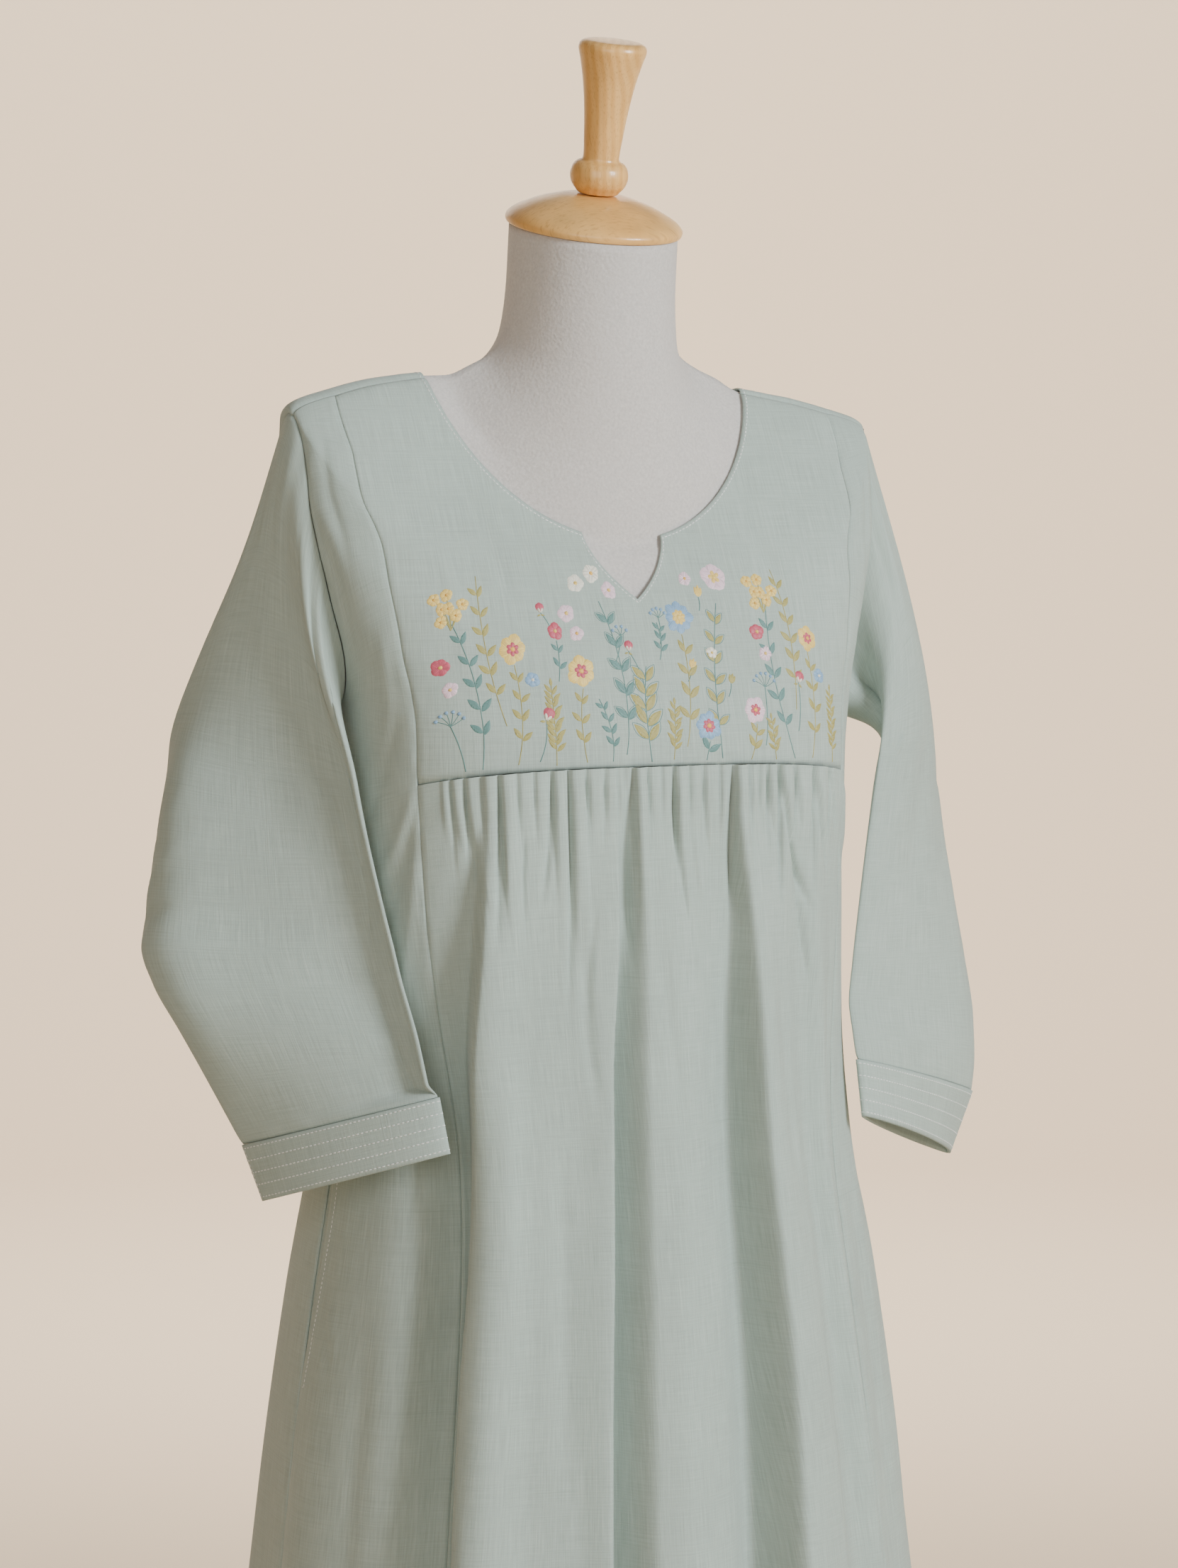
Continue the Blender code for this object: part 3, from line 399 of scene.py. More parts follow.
def colourMix(tree, share, first, second):
    # a colour that lies by its share between two others
    node = tree.nodes.new("ShaderNodeMix")
    node.data_type = "RGBA"
    tree.links.new(share, node.inputs[0])
    for place, value in ((6, first), (7, second)):
        if isinstance(value, tuple):
            node.inputs[place].default_value = (*value, 1.0)
        else:
            tree.links.new(value, node.inputs[place])
    return node.outputs[2]


def remap(tree, value, low, high, toLow=0.0, toHigh=1.0):
    # stretches low to high over another range and stops at its ends
    node = tree.nodes.new("ShaderNodeMapRange")
    setInputs(node, {"From Min": low, "From Max": high, "To Min": toLow, "To Max": toHigh})
    tree.links.new(value, node.inputs["Value"])
    return node.outputs["Result"]


def addPattern(tree, kind, vector, values):
    # a texture or a mapping that reads a vector
    node = tree.nodes.new("ShaderNode" + kind)
    setInputs(node, values)
    tree.links.new(vector, node.inputs["Vector"])
    return node


def addShade(tree, value, colour):
    # makes a colour a little lighter or darker by a factor
    node = tree.nodes.new("ShaderNodeHueSaturation")
    tree.links.new(value, node.inputs["Value"])
    tree.links.new(colour, node.inputs["Color"])
    return node.outputs["Color"]


def addBump(tree, shader, height, strength, distance):
    # a height, times a distance in metres, tilts the shader's normal
    node = tree.nodes.new("ShaderNodeBump")
    setInputs(node, {"Strength": strength, "Distance": distance})
    tree.links.new(height, node.inputs["Height"])
    tree.links.new(node.outputs["Normal"], shader.inputs["Normal"])


def readMap(tree, name):
    # places on the piece's own map
    node = tree.nodes.new("ShaderNodeUVMap")
    node.uv_map = name
    return node.outputs["UV"]


def shaded(colour, share):
    # a colour made darker or lighter, never past 0.95
    return tuple(min(share * c, 0.95) for c in colour)


def makeLinen():
    # plain weave of uneven yarns: colour and height both follow warp and weft streaks on the cloth's own map
    material, tree, shader = newMaterial("sageLinen")
    cloth = readMap(tree, "cloth")
    streaks = []
    for label, scale, detail in linen["streaks"]:
        stretched = addPattern(tree, "Mapping", cloth, {"Scale": scale})
        stretched.label = label
        streaks.append(addPattern(tree, "TexNoise", stretched.outputs["Vector"],
                                  {"Scale": 1.0, "Detail": detail, "Roughness": 0.6}).outputs["Fac"])
    warpYarn, weftYarn, warpSlub, weftSlub = streaks
    yarns = mathNode(tree, "ADD", mathNode(tree, "MULTIPLY", warpYarn, linen["warpShare"]),
                     mathNode(tree, "MULTIPLY", weftYarn, 1.0 - linen["warpShare"]))
    base = colourMix(tree, remap(tree, yarns, 0.36, 0.64), shaded(linen["colour"], 0.86),
                     shaded(linen["colour"], 1.13))
    lighter = colourMix(tree, remap(tree, warpSlub, 0.6, 0.74, 0.0, 0.5), base, linen["light"])
    darker = colourMix(tree, remap(tree, weftSlub, 0.66, 0.76, 0.0, 0.45), lighter, linen["dark"])
    patch = addPattern(tree, "TexNoise", cloth, {"Scale": 9.0, "Detail": 2.0})
    worn = remap(tree, patch.outputs["Fac"], 0.3, 0.7, 0.965, 1.035)
    tree.links.new(addShade(tree, worn, darker), shader.inputs["Base Color"])
    weave, bands = [], math.pi / (10.0 * linen["threadPitch"])
    for direction in ("X", "Y"):
        wave = addPattern(tree, "TexWave", cloth,
                          {"Scale": bands, "Distortion": 1.2, "Detail": 1.0, "Detail Scale": 0.4})
        wave.bands_direction = direction
        weave.append(wave.outputs["Fac"])
    threads = mathNode(tree, "MULTIPLY", mathNode(tree, "MAXIMUM", *weave), linen["weaveShare"])
    slubs = mathNode(tree, "ADD", warpSlub, mathNode(tree, "MULTIPLY", weftSlub, linen["slubShare"]))
    height = mathNode(tree, "ADD", mathNode(tree, "ADD", threads, yarns), slubs)
    addBump(tree, shader, height, linen["bump"], linen["bumpHeight"])
    rough = remap(tree, yarns, 0.3, 0.7, linen["roughness"] - 0.08, linen["roughness"] + 0.06)
    tree.links.new(rough, shader.inputs["Roughness"])
    setInputs(shader, {"Specular IOR Level": linen["specular"], "Sheen Weight": linen["sheen"],
                       "Sheen Roughness": linen["sheenRoughness"]})
    return material


def addCloth(name, node, grid, closed=False, thick=body["wall"],
             straight=False):
    # a wall of cloth on a grid of points, in place of its solid, with a map in metres of cloth across and
    # along; a straight map keeps the yarns upright where the rows of the grid bend round a neckline
    rows, columns = grid.shape[:2]
    faces = gridQuads(rows, columns, closed)
    normal = surfaceNormals(grid, closed)
    corner = grid.reshape(-1, 3)[faces]
    faceWay = np.cross(corner[:, 2] - corner[:, 0], corner[:, 3] - corner[:, 1])
    if np.sum(faceWay * normal.reshape(-1, 3)[faces[:, 0]]) < 0.0:
        faces = faces[:, ::-1]
    piece = linkMesh(name, grid.reshape(-1, 3), faces, linenMaterial)
    stepAcross = np.linalg.norm(np.diff(grid, axis=1), axis=-1).mean(axis=0)
    across = np.concatenate([[0.0], np.cumsum(stepAcross)])
    across = across - across[columns // 2]
    along = np.concatenate([[0.0], np.cumsum(np.linalg.norm(np.diff(grid, axis=0), axis=-1).mean(axis=1))])
    loopColumn = faces % columns
    if closed:
        wrapped = (loopColumn == 0) & (np.max(loopColumn, axis=1, keepdims=True) == columns - 1)
        loopColumn = np.where(wrapped, columns, loopColumn)
        across = np.append(across, across[-1] + stepAcross[-1])
    uv = corner[..., (0, 2)] if straight else np.stack([across[loopColumn], along[faces // columns]], axis=-1)
    layer = piece.data.uv_layers.new(name="cloth")
    layer.data.foreach_set("uv", uv.astype(np.float32).ravel())
    wall = piece.modifiers.new("wall", "SOLIDIFY")
    wall.thickness = thick
    wall.offset = 0.0
    fitPiece(piece, node)
    print("cloth:", name, rows, "x", columns, "area %.3f" % (0.5 * np.linalg.norm(faceWay, axis=-1).sum()))


linenMaterial = makeLinen()

# gathered front

skirt = {
    "rowSteps": 15, "columns": 240, "flat": (0.5, 0.86),
    # where each pleat's valley stands at the yoke seam, its height and how far it runs, in millimetres
    "pleats": (
        (-144, 1.4, 40), (-139, 1.6, 70), (-131, 2.0, 90), (-121, 1.8, 50), (-111, 3.0, 110),
        (-100, 1.6, 45), (-89, 1.8, 50), (-77, 2.4, 95), (-66, 2.8, 120), (-54, 1.6, 55), (-41, 1.4, 40),
        (-32, 1.8, 60), (-21, 3.4, 120), (-11, 1.8, 55), (-1, 1.4, 40), (9, 2.8, 100), (20, 1.6, 45),
        (31, 1.5, 50), (43, 1.8, 60), (53, 3.4, 120), (64, 2.4, 50), (72, 2.0, 40), (79, 2.8, 70),
        (89, 3.8, 110), (103, 2.6, 60), (120, 3.4, 90), (135, 2.4, 55),
    ),
    # a pleat's steep edge, the last one's width, how a pleat swells at first and fades over its run, and how
    # deep its valley and its far side lie in shares of its height
    "pleatEdge": 0.0022, "lastGap": 0.012, "swell": 0.5, "swellOver": 0.02,
    "fadeFrom": 0.15, "fadeOver": 0.95, "valleyShare": -0.35, "farPlace": 0.8, "farShare": 0.6,
    "sideEase": 0.03,
    "foldHeights": (1.12, 1.05, 0.95, 0.8, 0.62, 0.32),
    # lines of the large folds at those heights and their depths, in millimetres: each fold has its foot, a
    # crest close beside it, a body that sinks slowly and the next one's foot
    "folds": (
        ((-155, -153, -150, -152, -170, -193), (0, 0, 0, 0, 0, 0)),
        ((-124, -129, -139, -148, -165, -185), (0, -3, -6, -4, -4, -4)),
        ((-117, -121, -131, -142, -157, -174), (3, 14, 25, 34, 38, 40)),
        ((-92, -92, -98, -104, -116, -130), (2, 6, 10, 12, 13, 14)),
        ((-76, -74, -72, -80, -88, -98), (1, 4, 7, 9, 11, 12)),
        ((-34, -36, -46, -57, -69, -81), (2, 6, 10, 13, 15, 17)),
        ((-28, -30, -40, -51, -63, -75), (-1, -4, -9, -11, -11, -10)),
        ((-20, -15, -19, -27, -37, -45), (3, 8, 12, 14, 16, 18)),
        ((-6, -2, 0, -8, -16, -20), (2, 8, 13, 16, 19, 22)),
        ((18, 22, 26, 22, 16, 12), (1, 3, 4, 4, 5, 7)),
        ((48, 53, 53, 51, 48, 44), (0, -4, -11, -14, -15, -14)),
        ((56, 63, 66, 66, 64, 62), (3, 12, 19, 23, 26, 28)),
        ((84, 88, 92, 96, 102, 110), (1, 5, 9, 13, 16, 18)),
        ((106, 108, 112, 116, 126, 140), (0, 0, 1, 1, 3, 5)),
        ((118, 121, 126, 130, 144, 162), (1, 4, 7, 9, 11, 13)),
        ((146, 144, 142, 144, 160, 182), (0, 0, 0, 0, 0, 0)),
        ((155, 153, 150, 152, 170, 193), (0, 0, 0, 0, 0, 0)),
    ),
    # from across, from height, to across, to height, bow, width, depth, lean: millimetres, lean from -1 to 1
    "creases": (
        (-139, 1147, -135, 1098, 0, 4, -1.6, 0.2), (-131, 1148, -119, 1060, 2, 4, -2.2, 0.3),
        (-111, 1149, -116, 1040, -1, 5, -3.6, -0.4), (-96, 1108, -98, 1050, 1, 3, -2.0, 0.2),
        (-77, 1148, -86, 1066, -2, 4, -2.6, 0.3), (-66, 1148, -72, 1000, -2, 5, -3.0, -0.3),
        (-54, 1147, -52, 1112, 0, 3, -1.4, 0.0), (-41, 1147, -43, 1100, 0, 3, -1.5, 0.2),
        (-21, 1148, -24, 1030, 2, 5, -4.0, 0.35), (-11, 1147, -8, 1110, 0, 3, -1.5, 0.0),
        (9, 1147, 17, 1044, 2, 5, -3.2, 0.3), (31, 1146, 36, 1086, 1, 4, -1.7, 0.2),
        (53, 1147, 60, 1036, 3, 5, -4.0, 0.35), (79, 1145, 86, 1094, 1, 4, -2.6, 0.1),
        (89, 1147, 118, 1052, 4, 5, -4.6, 0.3), (106, 1080, 118, 1000, 2, 5, -2.4, 0.2),
        (103, 1144, 108, 1106, 0, 4, -2.4, 0.0), (120, 1144, 134, 1080, 2, 5, -3.8, 0.2),
        (135, 1143, 145, 1104, 0, 4, -2.6, 0.1), (-128, 1110, -124, 1070, 1, 3, -1.2, 0.0),
        (-50, 1060, -58, 990, 2, 5, -1.3, 0.2), (24, 1110, 30, 1060, 1, 4, 1.2, 0.0),
        (-60, 1060, -56, 930, 2, 9, -1.6, 0.0), (-8, 1040, 2, 880, -3, 12, -1.4, 0.0),
        (34, 1000, 28, 840, 2, 12, -1.6, 0.1), (84, 1020, 92, 870, 3, 12, -1.8, 0.0),
        (-112, 960, -118, 800, 2, 11, 1.5, 0.2), (-84, 900, -92, 690, -2, 13, -1.6, 0.0),
        (2, 820, -8, 600, 2, 14, -1.6, 0.0), (100, 820, 112, 600, -2, 14, -1.8, 0.1),
        (-150, 700, -158, 420, 1, 10, 1.4, 0.0), (60, 560, 66, 360, 0, 16, -1.8, 0.0),
        (-30, 560, -36, 350, 2, 16, 1.6, 0.0), (140, 640, 150, 400, 1, 12, -1.5, 0.0),
    ),
}


def skirtDepth(topAcross, below, across, z):
    # gathers that rise steeply from each valley, sink slowly to the next and fade with length, and the folds
    valley, depth, run = np.array(skirt["pleats"]).T / 1000.0
    gap = np.diff(valley, append=valley[-1] + skirt["lastGap"])
    drop = below[:, None]
    height = depth * (1.0 + skirt["swell"] * softStep(drop / skirt["swellOver"]))
    height = height * (1.0 - softStep((drop - skirt["fadeFrom"] * run) / (skirt["fadeOver"] * run)))
    rows = np.stack([valley, valley + skirt["pleatEdge"], valley + skirt["farPlace"] * gap], axis=1).ravel()
    values = np.stack([skirt["valleyShare"] * height, height, skirt["farShare"] * height], axis=2)
    values = values.reshape(len(below), -1)
    values[:, 0] = 0.0
    gathers = readCurve(np.broadcast_to(rows, values.shape), values, np.broadcast_to(topAcross, across.shape))
    heights = skirt["foldHeights"][::-1]
    lines, depths = (np.array([readCurve(heights, np.array(fold[part][::-1]) / 1000.0, z)
                               for fold in skirt["folds"]]).T for part in (0, 1))
    return gathers + readCurve(lines, depths, across)


def frontSkirt():
    # rings between the princess seams, pushed out by pleats, folds and creases
    seam = body["yokeSeam"]
    level = refine(body["skirtLevels"], skirt["rowSteps"])
    share = np.linspace(-1.0, 1.0, skirt["columns"])
    angle = princessAngle(level)[:, None] * share[None, :]
    levels = np.broadcast_to(level[:, None], angle.shape)
    grid = bodyPoint(levels, angle)
    seamX = bodyPoint(level, princessAngle(level))[:, 0]
    below = ringValue("frontZ", np.array([seam])) - ringValue("frontZ", level)
    topAcross = bodyPoint(seam, princessAngle(np.array([seam])) * share)[:, 0]
    rowZ = grid[..., 2].mean(axis=1)
    ends = np.array(skirt["folds"][-1][0][::-1]) / 1000.0
    across = grid[..., 0] / seamX[:, None] * readCurve(skirt["foldHeights"][::-1], ends, rowZ)[:, None]
    ease = softStep((1.0 - np.abs(share)) / skirt["sideEase"])[None, :]
    depth = skirtDepth(topAcross, below, across, rowZ) * ease
    depth = depth + creaseDepth(skirt["creases"], across, grid[..., 2]) * ease
    for edge, side in (("first", -1), ("last", 1)):
        depth = depth + seamValley(edgeDistance(grid, edge), grid[..., 2], side)
    grid = grid + flatOutward(levels, angle) * depth[..., None]
    for edge in ("top", "first", "last"):
        pullIn(grid, edge, body["seamInset"])
    return grid + surfaceNormals(grid) * seamDip(grid, ("first", "last"))[..., None]


skirtGrid = frontSkirt()
addCloth("frontSkirtCloth", "front_skirt", skirtGrid)

# yoke

yoke = {
    "shares": (0.0, 0.085, 0.169, 0.27, 0.38, 0.5, 0.62, 0.74, 0.85, 0.93, 1.0), "times": 6, "rowTimes": 6,
    "notchLevel": 2.6, "notchShare": 0.169, "notchCurve": 0.9, "notchFade": 1.5, "central": 0.4,
    "flat": (0.31, 0.3), "flatArea": 0.072,
    # by millimetres across and height, as the front's creases
    "creases": (
        (-104, 1330, -92, 1245, -3, 9, -0.9, 0.1), (-66, 1290, -74, 1262, 1, 5, -0.8, 0.0),
        (96, 1345, 112, 1255, 4, 12, -1.0, 0.0), (-132, 1290, -120, 1200, 2, 10, 0.8, 0.0),
        (74, 1290, 84, 1256, 0, 6, 0.6, 0.0), (130, 1260, 128, 1190, 1, 9, -0.8, 0.0),
    ),
}


def frontYoke():
    # rows that are level at the sides, even in the middle and dip into the neck's notch
    corners = body["shoulderLevels"] + body["princessLevels"][1:] + (body["yokeSeam"],)
    level = refine(corners, yoke["rowTimes"])
    half = refine(yoke["shares"], yoke["times"])
    share = np.concatenate([-half[:0:-1], half])
    edge = np.where(level <= body["shoulderLevels"][-1], body["shoulderAngle"], princessAngle(level))
    inNotch = np.clip(1.0 - np.abs(share) / yoke["notchShare"], 0.0, 1.0)
    notch = yoke["notchLevel"] * inNotch ** yoke["notchCurve"]
    even = np.linspace(0.0, 1.0, len(level))[:, None]
    central = 1.0 - softStep((np.abs(share) - yoke["central"]) / (1.0 - yoke["central"]))[None, :]
    levels = level[:, None] * (1.0 - central) + body["yokeSeam"] * even * central
    levels = levels + notch[None, :] * (1.0 - even) ** yoke["notchFade"]
    grid = bodyPoint(levels, edge[:, None] * share[None, :])
    grid = grid + surfaceNormals(grid) * creaseDepth(yoke["creases"], grid[..., 0], grid[..., 2])[..., None]
    pullIn(grid, "bottom", body["seamInset"])
    split = 3 * yoke["rowTimes"]
    for side in ("first", "last"):
        pullIn(grid[:split + 1], side, body["shoulderInset"])
        pullIn(grid[split + 1:], side, body["seamInset"])
    return grid + surfaceNormals(grid) * seamDip(grid, ("bottom", "first", "last"), pucker=0.0002)[..., None]


yokeGrid = frontYoke()
addCloth("frontYokeCloth", "front_yoke", yokeGrid, straight=True)

# side fronts

sideFront = {
    "times": 10, "columns": 56, "ease": 0.008, "flat": (0.22, 1.02), "flatArea": 0.117,
    # each fold's share of the way across, depth in millimetres and the height where it begins
    "folds": ((0.0, 0, 1.1), (0.16, -5, 1.0), (0.34, 1, 1.05), (0.52, 7, 0.95), (0.72, 13, 1.0),
              (0.88, 10, 0.9), (1.0, 0, 0.9)),
    "mouthTop": 10.5, "mouthBottom": 12.5, "mouthGap": math.radians(2.4),
    # across is cloth from the princess seam, along is height; -1 is the wearer's right, 1 the left
    "creases": {-1: (
        (2, 1135, 40, 1068, 2, 8, 1.6, 0.0), (4, 1120, 46, 1020, 3, 9, -1.6, 0.0),
        (2, 1105, 30, 990, 3, 8, 1.2, 0.1), (14, 1180, 50, 1105, 2, 10, -1.3, 0.0),
        (18, 1370, 24, 1280, -2, 8, -1.2, 0.0), (44, 1330, 38, 1230, 2, 10, -1.3, 0.2),
        (10, 1240, 30, 1150, 2, 9, 0.9, 0.0), (26, 900, 34, 852, 1, 6, -1.4, 0.0),
        (20, 830, 26, 610, 2, 22, -2.6, 0.2), (60, 780, 66, 520, -2, 18, -1.8, 0.0),
        (96, 800, 84, 772, 0, 6, 1.2, 0.0), (100, 786, 90, 752, 1, 6, -1.4, 0.0),
        (88, 1000, 96, 930, 1, 10, -1.2, 0.0), (40, 560, 44, 360, 1, 18, 1.8, 0.0),
    ), 1: (
        (2, 1138, 34, 1080, 2, 8, 1.4, 0.0), (4, 1118, 40, 1030, 3, 9, -1.5, 0.0),
        (20, 1360, 26, 1270, 2, 9, -1.3, 0.0), (46, 1330, 40, 1250, -2, 9, -1.2, 0.0),
        (12, 1250, 24, 1160, 2, 9, 1.0, 0.0), (50, 1180, 56, 1100, 1, 10, -1.2, 0.0),
        (22, 860, 28, 640, -2, 20, -2.2, 0.0), (70, 880, 64, 620, 2, 18, 1.8, 0.0),
        (100, 840, 96, 560, 1, 16, -1.8, 0.0), (48, 580, 52, 360, 1, 18, -1.8, 0.0),
    )},
}


def softFolds(folds, share, z):
    # folds that each begin at a height of their own and deepen down to the hem
    shares, depths, starts = np.array(folds, float).T
    grown = depths / 1000.0 * softStep((starts - z.mean(axis=1)[:, None]) / (starts - body["sideZ"][-1]))
    return readCurve(np.broadcast_to(shares, grown.shape), grown, np.broadcast_to(share, z.shape))


def sideFrontGrid(side):
    # straight rows from princess seam to armhole and side seam, drawn back at the pocket's mouth
    times = sideFront["times"]
    holeLevel, holeAngle = armholeCurve(-body["armholeForward"], body["armholeSteps"] * times)
    lower = refine((body["underarm"],) + body["skirtLevels"], times)[1:]
    innerLevel = refine(body["princessLevels"] + body["skirtLevels"], times)
    innerAngle = princessAngle(innerLevel)
    outerLevel = np.concatenate([holeLevel, lower])
    outerAngle = np.concatenate([holeAngle, np.full(len(lower), body["sideAngle"])])
    if side < 0:
        mouth = (outerLevel - sideFront["mouthTop"]) / (sideFront["mouthBottom"] - sideFront["mouthTop"])
        outerAngle = outerAngle - sideFront["mouthGap"] * np.sin(math.pi * np.clip(mouth, 0.0, 1.0))
    share = np.linspace(0.0, 1.0, sideFront["columns"])[None, :]
    level = innerLevel[:, None] * (1.0 - share) + outerLevel[:, None] * share
    angle = (innerAngle[:, None] * (1.0 - share) + outerAngle[:, None] * share) * side
    grid = bodyPoint(level, angle)
    depth = softFolds(sideFront["folds"], share, grid[..., 2])
    across = edgeDistance(grid, "first")
    ease = softStep(across / sideFront["ease"]) * softStep(edgeDistance(grid, "last") / sideFront["ease"])
    depth = depth + creaseDepth(sideFront["creases"][side], across, grid[..., 2]) * ease
    depth = depth + seamValley(across, grid[..., 2], side)
    grid = grid + flatOutward(level, angle) * depth[..., None]
    hole = body["armholeSteps"] * times + 1
    pullIn(grid, "top", body["shoulderInset"])
    pullIn(grid, "first", body["seamInset"])
    pullIn(grid[:hole], "last", body["armholeInset"])
    pullIn(grid[hole:], "last", body["seamInset"])
    return grid + surfaceNormals(grid) * seamDip(grid, ("first", "last"), pucker=0.00045)[..., None]


sideGrids = {1: sideFrontGrid(1), -1: sideFrontGrid(-1)}
for side, name in ((1, "Left"), (-1, "Right")):
    addCloth("sideFront" + name + "Cloth", "side_front_" + name.lower(), sideGrids[side])

# back

backPanel = {
    "times": 7, "columns": 168, "ease": 0.01, "even": 0.65, "flat": (0.74, 1.1), "flatArea": 0.633,
    # as the side fronts' folds
    "folds": (
        (0.0, 0, 1.05), (0.06, 4, 0.95), (0.13, -6, 0.95), (0.21, 8, 1.05), (0.29, -5, 1.0),
        (0.37, 6, 0.9), (0.45, -7, 1.05), (0.54, 9, 1.1), (0.62, -5, 0.95), (0.7, 6, 1.0),
        (0.78, -8, 1.05), (0.86, 7, 0.95), (0.94, -3, 0.9), (1.0, 0, 1.0),
    ),
    # across is cloth from the middle of the back, positive towards the wearer's right
    "creases": (
        (-60, 1330, -90, 1240, 4, 14, -1.4, 0.0), (58, 1335, 92, 1235, -4, 14, -1.5, 0.0),
        (-20, 1340, -24, 1200, 3, 16, 0.9, 0.0), (34, 1290, 30, 1150, -3, 16, -0.9, 0.0),
        (-150, 1200, -110, 1130, 4, 12, -1.6, 0.0), (152, 1196, 108, 1120, -4, 12, -1.6, 0.0),
        (-140, 1150, -90, 1080, 4, 12, 1.3, 0.0), (138, 1140, 84, 1066, -4, 12, 1.3, 0.0),
        (-70, 1080, -78, 900, 2, 14, -1.8, 0.1), (-16, 1060, -10, 860, -2, 15, -1.8, 0.0),
        (46, 1070, 54, 880, 3, 14, 1.6, 0.0), (98, 1040, 104, 840, 2, 15, -1.8, 0.0),
        (-128, 1020, -136, 820, 2, 14, 1.6, 0.0), (-40, 800, -48, 560, 2, 18, 2.0, 0.0),
        (20, 780, 26, 540, -2, 18, -2.0, 0.0), (78, 760, 88, 500, 2, 18, 2.0, 0.0),
        (-100, 720, -112, 470, 2, 18, -2.0, 0.0), (140, 800, 150, 560, 2, 16, -1.8, 0.0),
        (-176, 840, -186, 600, 1, 14, -1.6, 0.0), (0, 560, 4, 350, 0, 20, 2.2, 0.0),
    ),
}


def backShares():
    # columns that crowd towards both side seams
    even = np.linspace(0.0, 1.0, backPanel["columns"] + 1)
    return backPanel["even"] * even + (1.0 - backPanel["even"]) * (1.0 - np.cos(math.pi * even)) / 2.0


def backGrid():
    # rings round the back from one armhole or side seam to the other
    times = backPanel["times"]
    holeLevel, holeAngle = armholeCurve(body["armholeBackward"], body["armholeSteps"] * times)
    upper = refine(body["shoulderLevels"] + body["tipLevels"] + (body["shoulderTip"],), times)[:-1]
    lower = refine((body["underarm"],) + body["skirtLevels"], times)[1:]
    level = np.concatenate([upper, holeLevel, lower])
    edge = np.concatenate([np.full(len(upper), body["shoulderAngle"]), holeAngle,
                           np.full(len(lower), body["sideAngle"])])
    share = backShares()[None, :]
    angle = edge[:, None] + (2.0 * math.pi - 2.0 * edge[:, None]) * share
    levels = np.broadcast_to(level[:, None], angle.shape)
    grid = bodyPoint(levels, angle)
    depth = softFolds(backPanel["folds"], share, grid[..., 2])
    fromFirst = edgeDistance(grid, "first")
    across = fromFirst - fromFirst[:, [fromFirst.shape[1] // 2]]
    ease = softStep(fromFirst / backPanel["ease"]) * softStep(edgeDistance(grid, "last") / backPanel["ease"])
    depth = depth + creaseDepth(backPanel["creases"], across, grid[..., 2]) * ease
    grid = grid + flatOutward(levels, angle) * depth[..., None]
    firstHole, afterHole = len(upper), len(upper) + len(holeLevel)
    for side in ("first", "last"):
        pullIn(grid[:firstHole + 1], side, body["shoulderInset"])
        pullIn(grid[firstHole + 1:afterHole], side, body["armholeInset"])
        pullIn(grid[afterHole:], side, body["seamInset"])
    return grid + surfaceNormals(grid) * seamDip(grid, ("first", "last"), pucker=0.0003)[..., None]


backClothGrid = backGrid()
addCloth("backCloth", "back", backClothGrid)

# sleeves and cuffs

